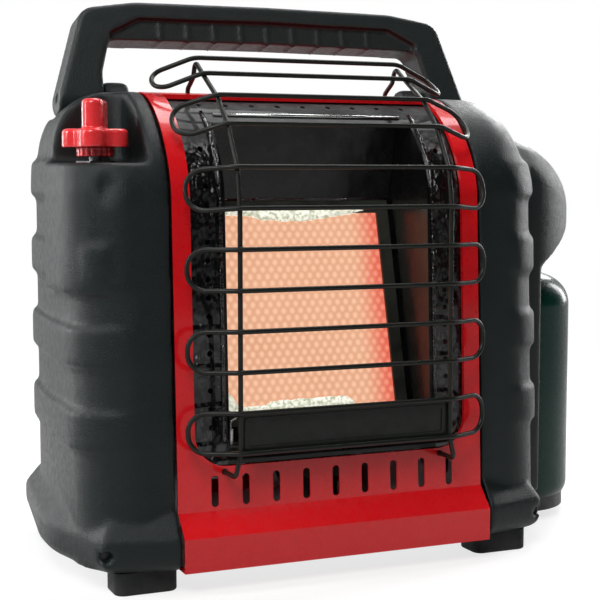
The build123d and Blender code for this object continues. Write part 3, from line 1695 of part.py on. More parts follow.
collar_flange_top = cylinder_shoulder_top - cylinder_wall - running
collar_bottom = collar_flange_top - collar_flange_thickness
with BuildPart() as cylinder_collar:
    add(upright_disc(cylinder_x, cylinder_y, collar_bottom, collar_top, collar_radius))
    add(upright_disc(cylinder_x, cylinder_y, collar_bottom, collar_flange_top, collar_flange))
    add(
        upright_disc(cylinder_x, cylinder_y, core_bottom - running, 2 * collar_top, core_radius + running),
        mode=Mode.SUBTRACT,
    )
save(cylinder_collar, "cylinder_collar")

with BuildPart() as valve_core:
    add(upright_disc(cylinder_x, cylinder_y, core_bottom, core_bottom + core_length, core_radius))
save(valve_core, "valve_core")

with BuildPart() as relief_valve:
    add(upright_disc(cylinder_x, relief_y, relief_bottom, relief_top, relief_radius))
save(relief_valve, "relief_valve")


# ================================================================ small fixings
def skirt_screw():
    """Right-hand skirt screw, head to the front."""
    with BuildPart() as screw:
        add(screw_post(screw_head, screw_seat_y - screw_head_length, screw_seat_y))
        add(screw_post(screw_shank, screw_seat_y, screw_boss_back))
    return screw.part


with BuildPart() as housing_screws:
    add(skirt_screw())
    mirror(about=side)
save(housing_screws, "housing_screws")

with BuildPart() as rear_screws:
    with BuildSketch(at_depth(case_depth)) as heads:
        with Locations(*rear_screw_spots):
            Circle(screw_head)
    extrude(amount=sheet)
    with BuildSketch(at_depth(case_depth)) as shanks:
        with Locations(*rear_screw_spots):
            Circle(screw_shank)
    extrude(amount=rear_screw_length)
save(rear_screws, "rear_screws")

with BuildPart() as tip_over_switch:
    with BuildSketch(plan.offset(foot_height + 2 * sheet)) as housing:
        with Locations((switch_x, switch_y)):
            RectangleRounded(switch_width, switch_depth, frame_lip)
    extrude(amount=switch_height)
save(tip_over_switch, "tip_over_switch")
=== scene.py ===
"""Looks of the portable propane heater, in metres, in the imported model's own frame."""
from math import cos, exp, pi, radians, sin

import bmesh
import bpy
from mathutils import Matrix, Vector, noise
from mathutils.bvhtree import BVHTree


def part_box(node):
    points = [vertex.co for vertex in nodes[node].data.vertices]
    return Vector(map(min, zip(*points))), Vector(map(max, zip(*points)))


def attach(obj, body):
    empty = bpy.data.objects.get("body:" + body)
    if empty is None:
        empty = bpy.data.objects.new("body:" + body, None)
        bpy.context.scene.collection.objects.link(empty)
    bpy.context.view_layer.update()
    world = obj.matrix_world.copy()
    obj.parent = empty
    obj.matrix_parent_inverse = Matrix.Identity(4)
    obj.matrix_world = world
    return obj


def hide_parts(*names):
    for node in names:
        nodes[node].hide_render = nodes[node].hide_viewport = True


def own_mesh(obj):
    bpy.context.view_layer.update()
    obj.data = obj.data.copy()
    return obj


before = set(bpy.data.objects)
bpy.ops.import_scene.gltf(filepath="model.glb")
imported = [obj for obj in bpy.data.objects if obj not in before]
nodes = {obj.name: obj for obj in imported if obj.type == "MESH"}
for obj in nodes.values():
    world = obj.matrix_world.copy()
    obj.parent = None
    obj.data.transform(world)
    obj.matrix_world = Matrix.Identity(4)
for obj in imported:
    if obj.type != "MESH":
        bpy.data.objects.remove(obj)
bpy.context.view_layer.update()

# ---------------------------------------------------------------- chassis and brackets
# Folded galvanised steel: a channel with a floor and two sides that carries the burner and the valve.
# Bare zinc with a faint spangle, spot-welded brackets, and a pressed pan that closes the bottom.


class Out:
    """One output in a node tree, so that shader maths reads as plain arithmetic."""

    def __init__(self, tree, socket):
        self.tree = tree
        self.socket = socket

    def math(self, operation, *others):
        return self.tree.node("Math", {"operation": operation}, dict(enumerate((self, *others))))

    def __add__(self, other):
        return self.math("ADD", other)

    def __radd__(self, other):
        return self.math("ADD", other)

    def __sub__(self, other):
        return self.math("SUBTRACT", other)

    def __rsub__(self, other):
        return self.math("MULTIPLY", -1) + other

    def __mul__(self, other):
        return self.math("MULTIPLY", other)

    def __rmul__(self, other):
        return self.math("MULTIPLY", other)

    def __truediv__(self, other):
        return self.math("DIVIDE", other)


class Tree:
    """The nodes of a material or of the world, with one way of adding to them."""

    def __init__(self, node_tree):
        self.node_tree = node_tree

    def feed(self, socket, value):
        """Links an output to a socket, or sets the socket to a plain value."""
        if isinstance(value, Out):
            self.node_tree.links.new(value.socket, socket)
        else:
            socket.default_value = value

    def node(self, kind, settings=None, values=None, output=0):
        """Adds a node, its settings first and then its sockets, and gives one of its outputs."""
        node = self.node_tree.nodes.new("ShaderNode" + kind)
        for key, value in (settings or {}).items():
            setattr(node, key, value)
        for key, value in (values or {}).items():
            self.feed(node.inputs[key], value)
        return Out(self, node.outputs[output])

    def place(self, kind="Object"):
        """Where each point lies, in metres on a piece, or as a direction in the world."""
        return self.node("TexCoord", output=kind)

    def axes(self, kind="Object"):
        """The same place as three outputs, along X, Y and Z."""
        split = self.node("SeparateXYZ", values={0: self.place(kind)}).socket.node
        return [Out(self, socket) for socket in split.outputs]


class Finish(Tree):
    """A material: plain values are set on the shader itself, and paint() links what varies."""

    def __init__(self, name, **constants):
        self.material = bpy.data.materials.new(name)
        self.material.use_nodes = True
        super().__init__(self.material.node_tree)
        self.shader = self.node_tree.nodes["Principled BSDF"]
        for key, value in constants.items():
            self.paint(**{key: (*value, 1) if key.endswith("Color") else value})

    def paint(self, **sockets):
        for key, value in sockets.items():
            self.feed(self.shader.inputs[key.replace("_", " ")], value)

    def noise(self, per_metre, detail=2, roughness=0.5, at=None):
        """Cloudy noise from 0 to 1, in patches of so many to the metre."""
        values = {"Vector": at or self.place(), "Scale": per_metre}
        values.update({"Detail": detail, "Roughness": roughness})
        return self.node("TexNoise", values=values)

    def spread(self, value, low, high, start=0.0, end=1.0):
        """Maps low..high to start..end, smoothly and clamped."""
        values = {0: value, 1: low, 2: high, 3: start, 4: end}
        return self.node("MapRange", {"interpolation_type": "SMOOTHSTEP"}, values)

    def patches(self, per_metre, start, end, detail=3, low=0.3, high=0.7):
        """A value that drifts between start and end over soft patches."""
        return self.spread(self.noise(per_metre, detail), low, high, start, end)

    def mix(self, factor, first, second):
        """One colour where the factor is 0 and the other where it is 1."""
        first = first if isinstance(first, Out) else (*first, 1)
        second = second if isinstance(second, Out) else (*second, 1)
        return self.node("Mix", {"data_type": "RGBA"}, {0: factor, 6: first, 7: second}, output=2)

    def bump(self, height, depth):
        """Raises the surface by a height from 0 to 1, with the depth in metres."""
        self.paint(Normal=self.node("Bump", values={"Strength": 1, "Distance": depth, "Height": height}))

    def mottle(self, per_metre, dark, light, detail=3):
        """The base colour, drifting between two shades."""
        self.paint(Base_Color=self.mix(self.noise(per_metre, detail), dark, light))

    def gloss(self, per_metre, smooth, rough, **limits):
        """The roughness, drifting between two values."""
        self.paint(Roughness=self.patches(per_metre, smooth, rough, **limits))

    def grain(self, per_metre, depth, detail=2):
        """A fine raised texture."""
        self.bump(self.noise(per_metre, detail), depth)


def dress(finish, *names):
    """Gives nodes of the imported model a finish."""
    for name in names:
        mesh = nodes[name].data
        mesh.materials.clear()
        mesh.materials.append(finish.material)


def sheet_metal(name, colour, roughness, spangle=90):
    """Bare metal: a faint crystal spangle, patches of duller shine and fine rolling marks."""
    dull_crystal = 0.82
    shinier, duller = 0.06, 0.10
    finish = Finish(name, Metallic=1)
    values = {"Vector": finish.place(), "Scale": spangle}
    crystals = finish.node("TexVoronoi", {"feature": "F1"}, values, output="Color")
    tone = finish.node("RGBToBW", values={0: crystals})
    finish.paint(Base_Color=finish.mix(tone, tuple(dull_crystal * c for c in colour), colour))
    finish.gloss(60, roughness - shinier, roughness + duller, detail=4, low=0.2, high=0.8)
    finish.grain(900, depth=0.00005)
    return finish


zinc = sheet_metal("zinc_sheet", (0.58, 0.59, 0.60), 0.36)
dress(zinc, "chassis", "heat_shield", "base_plate")
dress(zinc, "burner_brackets", "orifice_bracket", "valve_bracket")

# ---------------------------------------------------------------- feet
# Four moulded rubber blocks with rounded corners, fixed under the corners of the pan.
# Dull black, and dusty along the lower edge where they meet the ground.
rubber = Finish("foot_rubber", Specular_IOR_Level=0.35)
clean_rubber, dusty_rubber = (0.012, 0.013, 0.013), (0.07, 0.068, 0.064)
dust_top, dust_most = 0.010, 0.5
above_ground = rubber.axes()[2]
dust = rubber.spread(above_ground, 0.0, dust_top, dust_most, 0.0) * rubber.noise(260, 4)
rubber.paint(Base_Color=rubber.mix(dust, clean_rubber, dusty_rubber))
rubber.gloss(120, smooth=0.55, rough=0.75)
rubber.grain(1500, depth=0.00012)
dress(rubber, "foot_front_left", "foot_front_right", "foot_rear_left", "foot_rear_right")

# ---------------------------------------------------------------- gas train
# Turned brass valve, jet and swivel, drawn aluminium pipes and a zinc-cast regulator body.
# Left as machined, with fine turning marks, a little tarnish and black moulded caps and seals.
brass = sheet_metal("brass", (0.78, 0.56, 0.24), 0.28, spangle=400)
dress(brass, "orifice", "gas_valve", "valve_plug", "swivel_elbow")
dress(brass, "bulkhead_nut", "pilot_burner", "valve_core", "relief_valve")
tube_metal = sheet_metal("drawn_aluminium", (0.74, 0.75, 0.77), 0.3, spangle=300)
dress(tube_metal, "gas_pipe", "burner_pipe", "pilot_pipe", "regulator_body")
steel = sheet_metal("turned_steel", (0.60, 0.60, 0.61), 0.3, spangle=500)
dress(steel, "handle_pins", "thermocouple", "inlet_probe", "pilot_bracket")
dress(steel, "spark_electrode", "venturi_tube", "burner_box")
# the valve stem and bonnet nut are painted dark: painted shade for the gap under the knob's skirt
stem_painted_shade = sheet_metal("steel_painted_shade", (0.16, 0.16, 0.17), 0.34, spangle=500)
dress(stem_painted_shade, "valve_stem", "bonnet_nut")
inner_black = Finish("black_moulding")
inner_black.mottle(80, dark=(0.012, 0.012, 0.013), light=(0.03, 0.03, 0.031))
inner_black.gloss(200, smooth=0.34, rough=0.5)
inner_black.grain(2200, depth=0.00008)
dress(inner_black, "piezo_igniter", "tip_over_switch", "inlet_seal", "regulator_diaphragm")

# ---------------------------------------------------------------- stem spring
# Hard-drawn steel wire, wound into an open coil round the stem, from the valve up to the stem's collar.
# It lifts the knob again after a push, and shortens by the knob's travel in use; here it is one fixed
# coil that rides on the case.
spring_coil = bpy.data.objects.new("stem_spring_coil", nodes["stem_spring"].data.copy())
bpy.context.scene.collection.objects.link(spring_coil)
spring_coil.data.materials.clear()
spring_coil.data.materials.append(steel.material)
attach(spring_coil, "case")
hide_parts("stem_spring")
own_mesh(spring_coil)

# ---------------------------------------------------------------- burner tile, its frame and gasket
# Pressed ceramic tile full of fine flame holes, held by a steel frame over a fibre gasket.
# Lit: the holes glow brighter than the webs, and the lean right-hand edge glows redder.
tile_low, tile_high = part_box("ceramic_tile")
tile_mid = (tile_low.x + tile_high.x) / 2
tile_half = (tile_high.x - tile_low.x) / 2
tile_lean = radians(13.8)
hole_across, hole_up = 0.0064, 0.0098
hole_wide, hole_flatness = 0.0022, 0.85
tile = Finish("ceramic_tile", Roughness=0.85, Emission_Strength=1, Specular_IOR_Level=0.1)
tile_x, _, tile_z = tile.axes()
from_middle = tile_x - tile_mid
up_tile = (tile_z - tile_low.z) / cos(tile_lean)


def hole_distance(shift):
    """Distance to the nearest hole of one lattice, in hole radii."""
    wide, high = hole_across / hole_wide, hole_flatness * hole_up / hole_wide
    across = ((from_middle / hole_across + shift).math("FRACT") - 0.5) * wide
    up = ((up_tile / hole_up + shift).math("FRACT") - 0.5) * high
    return (across * across + up * up).math("SQRT")


# two lattices, half a pitch apart, stagger the holes
nearest_hole = hole_distance(0.0).math("MINIMUM", hole_distance(0.5))
hole_core, hole_rim = 0.15, 1.30
spot = tile.spread(nearest_hole, hole_core, hole_rim, 1.0, 0.0)

# the gas burns lean along the right-hand edge, and the frame cools both rims
edge_waver, edge_cooling, rim_cooling = 0.006, 0.9, 0.5
lean_from, lean_to = 0.66 * tile_half, 1.02 * tile_half
rim_from = 0.93 * tile_half
lean_edge = tile.spread(from_middle + edge_waver * tile.noise(60), lean_from, lean_to)
rim = tile.spread(from_middle.math("ABSOLUTE"), rim_from, tile_half)
cooler = (lean_edge * edge_cooling).math("MAXIMUM", rim * rim_cooling)
web = tile.mix(tile.noise(30, 3), (0.70, 0.345, 0.205), (0.82, 0.435, 0.275))
web_glow = tile.mix(cooler, web, (0.74, 0.085, 0.055))
spot_glow = tile.mix(cooler, (1.0, 0.60, 0.40), (0.96, 0.25, 0.17))
spot_strength = 0.85
tile.paint(Emission_Color=tile.mix(spot * spot_strength, web_glow, spot_glow))
tile.paint(Base_Color=tile.mix(spot, (0.10, 0.06, 0.04), (0.05, 0.03, 0.02)))
tile.bump(spot * -1, 0.0004)
dress(tile, "ceramic_tile")

frame_steel = sheet_metal("heat_tinted_steel", (0.13, 0.14, 0.115), 0.42, spangle=200)
dress(frame_steel, "tile_frame")

# white fibre, scorched here and there, with a painted glow in its emission that stands in for the tile's
# light falling on it
fibre = Finish("ceramic_fibre_painted_glow", Roughness=0.95, Emission_Strength=0.7)
fibre_tone = fibre.patches(420, 0.0, 1.0, detail=4, low=0.36, high=0.60)
fibre.paint(Base_Color=fibre.mix(fibre_tone, (0.42, 0.44, 0.34), (0.92, 0.90, 0.80)))
fibre.paint(Emission_Color=fibre.mix(fibre_tone, (0.50, 0.54, 0.38), (0.98, 0.97, 0.84)))
fibre.grain(1200, depth=0.0003, detail=5)
dress(fibre, "tile_gasket")


def mesh_piece(name, vertices, faces, finish, body):
    """A new piece from points and faces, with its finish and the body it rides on."""
    mesh = bpy.data.meshes.new(name)
    mesh.from_pydata(vertices, [], faces)
    mesh.materials.append(finish.material)
    mesh.polygons.foreach_set("use_smooth", [True] * len(mesh.polygons))
    piece = bpy.data.objects.new(name, mesh)
    bpy.context.scene.collection.objects.link(piece)
    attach(piece, body)


tile_thick = 0.013
tile_foot = Vector((tile_mid, tile_low.y, tile_low.z + tile_thick * sin(tile_lean)))
tile_rise = (tile_high.z - tile_foot.z) / cos(tile_lean)
fibre_thick = 0.0026
fibre_steps = 12
tear_share = 0.18
tear_low, tear_high, tear_up = 700, 520, 90


def fibre_strip(name, profile):
    """Torn strip of fibre over the frame's lip; the profile lists along, low and high on the tile."""
    rise = Vector((0, sin(tile_lean), cos(tile_lean)))
    out = Vector((0, -cos(tile_lean), sin(tile_lean)))
    rows = []
    for start, end in zip(profile, profile[1:]):
        for i in range(fibre_steps):
            share = i / fibre_steps
            rows.append([a + (b - a) * share for a, b in zip(start, end)])
    rows.append(list(profile[-1]))
    points = []
    for along, low, high in rows:
        tear = tear_share * (high - low)
        low += tear * noise.noise(Vector((tear_low * along, low * tear_up, 0)))
        high += tear * noise.noise(Vector((tear_high * along, high * tear_up, 5)))
        base = tile_foot + Vector((along, 0, 0))
        # five corners round the strip: how far up the tile, and how far out in its own thickness
        section = ((low, 0), (low, 0.6), (0.5 * (low + high), 1), (high, 0.8), (high, 0))
        for up, forward in section:
            points.append(base + rise * up + out * (forward * fibre_thick))
    faces = [(0, 1, 2, 3, 4)]
    for i in range(len(rows) - 1):
        for k in range(5):
            a, b = 5 * i + k, 5 * i + (k + 1) % 5
            faces.append((a, a + 5, b + 5, b))
    faces.append(tuple(5 * (len(rows) - 1) + k for k in (4, 3, 2, 1, 0)))
    mesh_piece(name, points, faces, fibre, "case")


crest = tile_rise + 0.0012
hem = 0.0015
top_profile = ((-0.0655, -0.0030), (-0.034, -0.0034), (-0.028, -0.0062),
               (0.004, -0.0076), (0.020, -0.0058), (0.052, -0.0010))
bottom_profile = ((-0.058, 0.0052), (-0.036, 0.0056), (-0.031, 0.0080),
                  (0.010, 0.0088), (0.024, 0.0084), (0.030, 0.0052))
corner_profile = ((-0.0655, 0.0, 0.024), (-0.062, 0.0, 0.016), (-0.056, 0.001, 0.006))
fibre_strip("fibre_strip_top", [(along, tile_rise + low, crest) for along, low in top_profile])
fibre_strip("fibre_strip_bottom", [(along, hem, high) for along, high in bottom_profile])
fibre_strip("fibre_corner", corner_profile)

# ---------------------------------------------------------------- heating chamber
# Pressed sheet in black porcelain enamel: perforated flange, side walls, tray and leaning reflector.
# Glassy, slightly wavy, so that it mirrors the tile and the room in broken streaks.
surround_low, surround_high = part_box("enamel_surround")
chamber_low, chamber_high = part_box("upper_reflector")
chamber_mid = (surround_low.x + surround_high.x) / 2
wall_half, fold_wide = 0.0752, 0.002
wall_shine, crown_shine, crown_dulling = 0.04, 0.18, 0.3
crown_start, crown_end = chamber_high.z - 0.035, chamber_high.z - 0.012
enamel = Finish("black_enamel", Base_Color=(0.003, 0.003, 0.0035), Specular_IOR_Level=0.3,
                Coat_Weight=1, Coat_Roughness=0.03)
enamel_x, _, enamel_z = enamel.axes()
from_centre = (enamel_x - chamber_mid).math("ABSOLUTE")
on_flange = enamel.spread(from_centre, wall_half, wall_half + fold_wide, wall_shine, 1.0)
at_crown = enamel.spread(enamel_z, crown_start, crown_end)
shine = on_flange * (1 - at_crown) + at_crown * crown_shine
enamel.paint(Coat_Weight=shine)
enamel.paint(Roughness=enamel.patches(50, 0.20, 0.34) + at_crown * crown_dulling)

# long upright ripples, with a trace of fine orange peel over them
ripple_stretch, peel_share, ripple_depth = (1, 1, 0.5), 0.003, 0.0085
stretched = enamel.node("VectorMath", {"operation": "MULTIPLY"}, {0: enamel.place(), 1: ripple_stretch})
ripples = enamel.noise(115, at=stretched)
enamel.bump(shine * ripples + peel_share * enamel.noise(1400), ripple_depth)
dress(enamel, "enamel_surround", "lower_tray")

mirror_sheet = Finish("dark_reflector", Specular_IOR_Level=0.35)
mirror_sheet.mottle(40, dark=(0.003, 0.003, 0.003), light=(0.009, 0.009, 0.009))
mirror_sheet.gloss(70, smooth=0.22, rough=0.36)
mirror_sheet.grain(40, depth=0.0016)
dress(mirror_sheet, "upper_reflector")


def skin_of(name):
    """Search tree over a node's triangles, to seat trim on it."""
    mesh = nodes[name].data
    corners = [v.co.copy() for v in mesh.vertices]
    return BVHTree.FromPolygons(corners, [tuple(p.vertices) for p in mesh.polygons])


def front_point(skin, x, z):
    """Where a level line from the front first meets a skin."""
    return skin.ray_cast(Vector((x, -1, z)), Vector((0, 1, 0)))[0]


def rod(name, path, radius, finish, body):
    """Round bar along a path, closed at both ends."""
    sides = 10
    points, faces = [], []
    for i, centre in enumerate(path):
        ahead = (path[min(i + 1, len(path) - 1)] - path[max(i - 1, 0)]).normalized()
        if i == 0:
            across = ahead.orthogonal().normalized()
        else:
            across = (across - ahead * across.dot(ahead)).normalized()
        up = ahead.cross(across)
        for k in range(sides):
            turn = 2 * pi * k / sides
            points.append(centre + (across * cos(turn) + up * sin(turn)) * radius)
    for i in range(len(path) - 1):
        for k in range(sides):
            a, b = sides * i + k, sides * i + (k + 1) % sides
            faces.append((a, b, b + sides, a + sides))
    faces.append(tuple(range(sides - 1, -1, -1)))
    faces.append(tuple(sides * (len(path) - 1) + k for k in range(sides)))
    mesh_piece(name, points, faces, finish, body)


# rolled bead down each side of the mouth, half sunk in the surround
bead_radius, bead_steps, bead_gap = 0.0014, 44, 0.004
bead_proud = Vector((0, -0.4 * bead_radius, 0))
bead_start = surround_low.z + 0.006
bead_length = surround_high.z - surround_low.z - 0.016
surround_skin = skin_of("enamel_surround")
bright_enamel = Finish("wavy_enamel", Base_Color=(0.004, 0.004, 0.0045),
                       Coat_Weight=1, Coat_Roughness=0.03)
bright_enamel.gloss(60, smooth=0.10, rough=0.22)
bright_enamel.grain(140, depth=0.0045)
for side, bead_x in (("left", chamber_low.x - bead_gap), ("right", chamber_high.x + bead_gap)):
    bead_path = []
    for i in range(bead_steps + 1):
        hit = front_point(surround_skin, bead_x, bead_start + bead_length * i / bead_steps)
        if hit:
            bead_path.append(hit + bead_proud)
    rod("chamber_bead_" + side, bead_path, bead_radius, bright_enamel, "case")

# polished lip along the reflector's top edge
lip_radius, lip_drop = 0.0013, 0.0030
lip_proud = Vector((0, -0.3, 0.3)) * lip_radius
lip_left, lip_right = chamber_low.x + 0.004, chamber_high.x - 0.005
lip_path = []
for x in (lip_left, (chamber_low.x + chamber_high.x) / 2, lip_right):
    lip_path.append(front_point(surround_skin, x, chamber_high.z - lip_drop) + lip_proud)
lip_steel = sheet_metal("polished_lip", (0.80, 0.82, 0.80), 0.22, spangle=60)
rod("reflector_lip", lip_path, lip_radius, lip_steel, "case")

# ---------------------------------------------------------------- red case
# Front case and rear cover: drawn steel sheet in glossy red powder coat, screwed to the chassis.
# The coat is even, with soft drifts in its shade and shine and a faint orange peel.
red = Finish("red_powder_coat", Coat_Weight=0.5, Coat_Roughness=0.06, Specular_IOR_Level=0.3)
red.mottle(14, dark=(0.77, 0.006, 0.011), light=(0.80, 0.007, 0.012))
red.gloss(160, smooth=0.24, rough=0.34)
red.grain(700, depth=0.00006)
dress(red, "front_case", "rear_cover")

# ---------------------------------------------------------------- side housings
# Injection-moulded charcoal shells with a leather-grain texture, bands pressed round the sides.
# Clipped over the case's edges; sheen is low, and scuffs pale the grain here and there.


def moulding(name, dark, light, grain=1500, depth=0.00022):
    """Grained moulded plastic with soft colour drift and pale scuffs."""
    scuff_from, scuff_full, scuff_most, scuff_paleness = 0.60, 0.75, 0.35, 2.2
    pebble_softness = 0.4
    fine_grain, fine_share = 2.2, 0.4
    finish = Finish(name, Specular_IOR_Level=0.3)
    base = finish.mix(finish.noise(9, 4, roughness=0.6), dark, light)
    worn = finish.noise(300, 6, roughness=0.7)
    scuffs = finish.spread(worn, scuff_from, scuff_full, 0.0, scuff_most)
    finish.paint(Base_Color=finish.mix(scuffs, base, tuple(scuff_paleness * c for c in light)))
    finish.gloss(240, smooth=0.30, rough=0.42, detail=4)
    values = {"Vector": finish.place(), "Scale": grain, "Smoothness": pebble_softness}
    pebbles = finish.node("TexVoronoi", {"feature": "SMOOTH_F1"}, values)
    finish.bump(pebbles + fine_share * finish.noise(fine_grain * grain), depth)
    return finish


def soften(name, voxel, passes, finish, body):
    """A node's own form with every edge eased, as it comes from the mould."""
    mould = bpy.data.objects.new(name + "_moulding", nodes[name].data.copy())
    bpy.context.scene.collection.objects.link(mould)
    skin = mould.modifiers.new("skin", "REMESH")
    skin.mode = "VOXEL"
    skin.voxel_size = voxel
    skin.use_smooth_shade = True
    ease = mould.modifiers.new("ease", "SMOOTH")
    ease.factor = 0.5
    ease.iterations = passes
    eased = mould.evaluated_get(bpy.context.evaluated_depsgraph_get())
    mesh = bpy.data.meshes.new_from_object(eased)
    mould.modifiers.clear()
    mould.data = mesh
    mesh.materials.clear()
    mesh.materials.append(finish.material)
    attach(mould, body)
    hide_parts(name)
    return mould


charcoal = moulding("charcoal_moulding", (0.0065, 0.0105, 0.0108), (0.0105, 0.0155, 0.0160))
housing_voxel, housing_passes = 0.002, 9
left_moulding = soften("left_housing", housing_voxel, housing_passes, charcoal, "case")
soften("right_housing", housing_voxel, housing_passes, charcoal, "case")

# shallow sink mark low on the pocket's front corner
dimple = Vector((-0.18883, -0.0799, 0.2600))
dimple_wide, dimple_high, dimple_deep = 0.0060, 0.0090, 0.0040
dimple_inward = Vector((0.3, 0.95, 0))
for vertex in left_moulding.data.vertices:
    apart = vertex.co - dimple
    across = (apart.x * apart.x + apart.y * apart.y) / dimple_wide ** 2
    fade = exp(-across - (apart.z / dimple_high) ** 2)
    vertex.co += dimple_inward * (dimple_deep * fade)

# ---------------------------------------------------------------- wire guard and hot plate
# Bent steel wire, welded at its crossings, with a pressed plate across the bottom.
# Dipped in satin black, and hooked by its bent ends into holes in the case.
guard_black = Finish("satin_black", Specular_IOR_Level=0.3)
guard_black.mottle(70, dark=(0.006, 0.0075, 0.006), light=(0.013, 0.0155, 0.012), detail=4)
guard_black.gloss(150, smooth=0.3, rough=0.45)
guard_black.grain(1100, depth=0.00008, detail=3)
dress(guard_black, "wire_guard", "hot_plate")

# resistance welds squeeze up a small bead where each rung crosses an upright
upright_places = (-0.1107, 0.0405)
rung_count, rung_first, rung_pitch = 6, 0.0910, 0.0259
weld_y, weld_radius = -0.1112, 0.0022
weld_shape = Matrix.Diagonal((1.25, 0.75, 0.95, 1))
weld_rough, weld_lumps, weld_seed = 0.0004, 600, 1
noise.seed_set(weld_seed)
welds = bmesh.new()
for upright_x in upright_places:
    for rung in range(rung_count):
        crossing = Matrix.Translation((upright_x, weld_y, rung_first + rung * rung_pitch))
        seat = crossing @ weld_shape
        bmesh.ops.create_icosphere(welds, subdivisions=2, radius=weld_radius, matrix=seat)
for vertex in welds.verts:
    vertex.co += weld_rough * noise.noise_vector(vertex.co * weld_lumps)
weld_points = [tuple(v.co) for v in welds.verts]
weld_faces = [tuple(v.index for v in f.verts) for f in welds.faces]
welds.free()
mesh_piece("guard_welds", weld_points, weld_faces, guard_black, "case")

# ---------------------------------------------------------------- handle
# One charcoal moulding with a C section and ribs under the grip, painted a shade paler than the housings
# as a stand-in for the light it catches from above.
# It swings on a steel pin through each arm.
handle_voxel, handle_passes = 0.0012, 5
handle_painted_light_charcoal = moulding("handle_charcoal_painted_light", (0.020, 0.0265, 0.0260), (0.028, 0.0360, 0.0350),
                       grain=1300, depth=0.00018)
soften("handle", handle_voxel, handle_passes, handle_painted_light_charcoal, "handle")

# ---------------------------------------------------------------- knob
# Glossy red moulding with four lobes and a grip blade across the top.
# Its grooved hub is pushed on the valve's stem.
knob_voxel, knob_passes = 0.0006, 5
knob_red = Finish("red_moulding", Coat_Weight=0.5, Coat_Roughness=0.05)
knob_red.mottle(30, dark=(0.90, 0.034, 0.040), light=(0.95, 0.044, 0.050))
knob_red.gloss(220, smooth=0.22, rough=0.34)
knob_red.grain(500, depth=0.00008)
soften("knob", knob_voxel, knob_passes, knob_red, "knob")

# ---------------------------------------------------------------- regulator trim
# Black moulded cap over the regulator's diaphragm, and a fluted nut that the cylinder screws into.
# The ring that the cylinder stands on is the same moulding, pressed on its lower end.
dress(inner_black, "regulator_cap", "inlet_nut", "cylinder_foot")

# ---------------------------------------------------------------- gas cylinder
# Deep-drawn steel shell with a threaded collar welded in at the top, in glossy dark green paint.
# A brass valve core sits in the collar, and a relief valve in the shoulder beside it.
green = Finish("green_paint", Coat_Weight=0.15, Coat_Roughness=0.06, Specular_IOR_Level=0.2)
green.mottle(12, dark=(0.0025, 0.030, 0.022), light=(0.0035, 0.040, 0.029))
green.gloss(130, smooth=0.22, rough=0.32)
green.grain(500, depth=0.00006)
dress(green, "cylinder_shell", "cylinder_collar")

# ---------------------------------------------------------------- screws
# Steel pan-head screws in black oxide that hold the shells and the rear cover.
# They sit deep in the skirt's seats and flush in the rear cover.
oxide = Finish("black_oxide", Metallic=0.8)
oxide.mottle(300, dark=(0.02, 0.02, 0.021), light=(0.06, 0.06, 0.062))
oxide.gloss(500, smooth=0.3, rough=0.45)
dress(oxide, "housing_screws", "rear_screws")

# ---------------------------------------------------------------- floor, light and camera
# A plain pale floor that runs out to white, under broad soft lamps in a white studio.
# The camera stands at the heater's front left, two thirds of its height up, and looks slightly down.
floor_reach, floor_sides = 12.0, 48
floor_near, floor_far = 0.45, 1.3
floor_glow, mirror_glow = 0.72, 0.5
corners = []
for i in range(floor_sides):
    turn = 2 * pi * i / floor_sides
    corners.append((floor_reach * cos(turn), floor_reach * sin(turn), 0))
floor_mesh = bpy.data.meshes.new("floor")
floor_mesh.from_pydata(corners, [], [tuple(range(floor_sides))])
floor = bpy.data.objects.new("floor", floor_mesh)
bpy.context.scene.collection.objects.link(floor)
pale = Finish("pale_floor", Roughness=0.8, Specular_IOR_Level=0, Emission_Strength=1)
floor_x, floor_y, _ = pale.axes()
from_heater = (floor_x * floor_x + floor_y * floor_y).math("SQRT")
far = pale.spread(from_heater, floor_near, floor_far)
to_camera = pale.node("LightPath", output="Is Camera Ray")
to_mirror = pale.node("LightPath", output="Is Glossy Ray")
level = (floor_glow + (1 - floor_glow) * far) * to_camera.math("MAXIMUM", to_mirror * mirror_glow)
pale.paint(Base_Color=pale.mix(far, (0.36, 0.36, 0.36), (0, 0, 0)))
pale.paint(Emission_Color=pale.mix(level, (0, 0, 0), (1, 1, 1)))
floor_mesh.materials.append(pale.material)

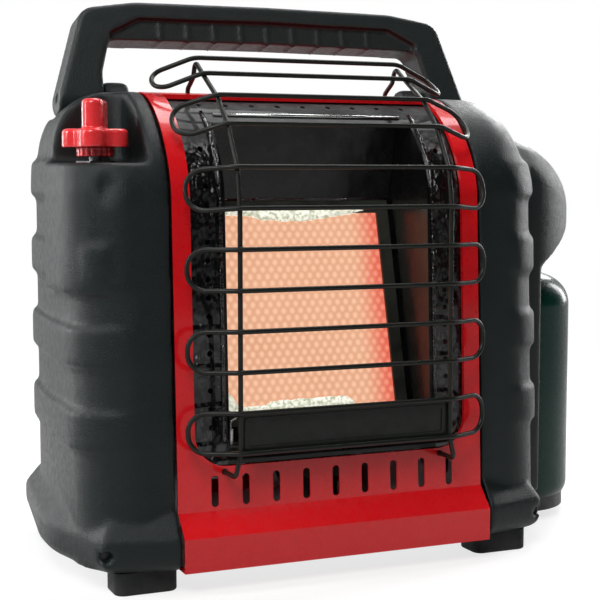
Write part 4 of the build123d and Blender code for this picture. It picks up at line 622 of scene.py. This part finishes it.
# white to the camera, dim as a light, and brighter behind the heater than in front in its gloss
fill_light, front_gloss, back_gloss = 0.16, -0.135, 0.40
front_y, back_y = -0.1, 0.6
world = bpy.data.worlds.new("studio")
bpy.context.scene.world = world
world.use_nodes = True
sky = Tree(world.node_tree)
backdrop = world.node_tree.nodes["Background"]
backdrop.inputs["Color"].default_value = (1, 1, 1, 1)
mirrored = sky.node("LightPath", output="Is Glossy Ray")
in_front = mirrored * front_gloss + fill_light
at_back = mirrored * back_gloss + fill_light
fall = {0: sky.axes("Generated")[1], 1: front_y, 2: back_y, 3: in_front, 4: at_back}
ambient = sky.node("Background", values={"Strength": sky.node("MapRange", values=fall)})
straight = sky.node("LightPath", output="Is Camera Ray")
choose = sky.node("MixShader", values={0: straight, 1: ambient, 2: Out(sky, backdrop.outputs[0])})
sky.feed(world.node_tree.nodes["World Output"].inputs["Surface"], choose)


def lamp(name, place, target, width, height, power):
    """Soft rectangular lamp facing its target."""
    data = bpy.data.lights.new(name, "AREA")
    data.shape = "RECTANGLE"
    data.size = width
    data.size_y = height
    data.energy = power
    holder = bpy.data.objects.new(name, data)
    holder.location = place
    holder.rotation_euler = (Vector(target) - Vector(place)).to_track_quat("-Z", "Y").to_euler()
    bpy.context.scene.collection.objects.link(holder)


lamp("key", (-1.1, -1.5, 1.9), (0, 0, 0.2), width=1.0, height=1.0, power=33)
lamp("side", (1.6, 0.45, 0.65), (0.1, 0, 0.2), width=0.30, height=1.0, power=13)
lamp("left_back", (-1.3, 1.5, 0.55), (-0.15, 0, 0.2), width=0.25, height=1.2, power=14)
lamp("left_edge", (-1.7, 0.1, 0.9), (-0.1, 0, 0.2), width=0.20, height=1.2, power=14)
lamp("overhead", (0.4, 0.35, 1.7), (0, 0, 0.2), width=1.0, height=0.6, power=13)
lamp("right_back", (1.1, 1.0, 1.0), (0.1, 0, 0.25), width=0.35, height=0.6, power=9)

camera_data = bpy.data.cameras.new("camera")
camera_data.lens = 84.06
camera_data.sensor_width = 36.0
camera = bpy.data.objects.new("camera", camera_data)
camera.location = (-0.4206, -0.9321, 0.2656)
turn, dip = radians(23.1), radians(5.0)
ahead = Vector((sin(turn) * cos(dip), cos(turn) * cos(dip), -sin(dip)))
camera.rotation_euler = ahead.to_track_quat("-Z", "Y").to_euler()
bpy.context.scene.collection.objects.link(camera)
bpy.context.scene.camera = camera
bpy.context.scene.view_settings.view_transform = "Standard"
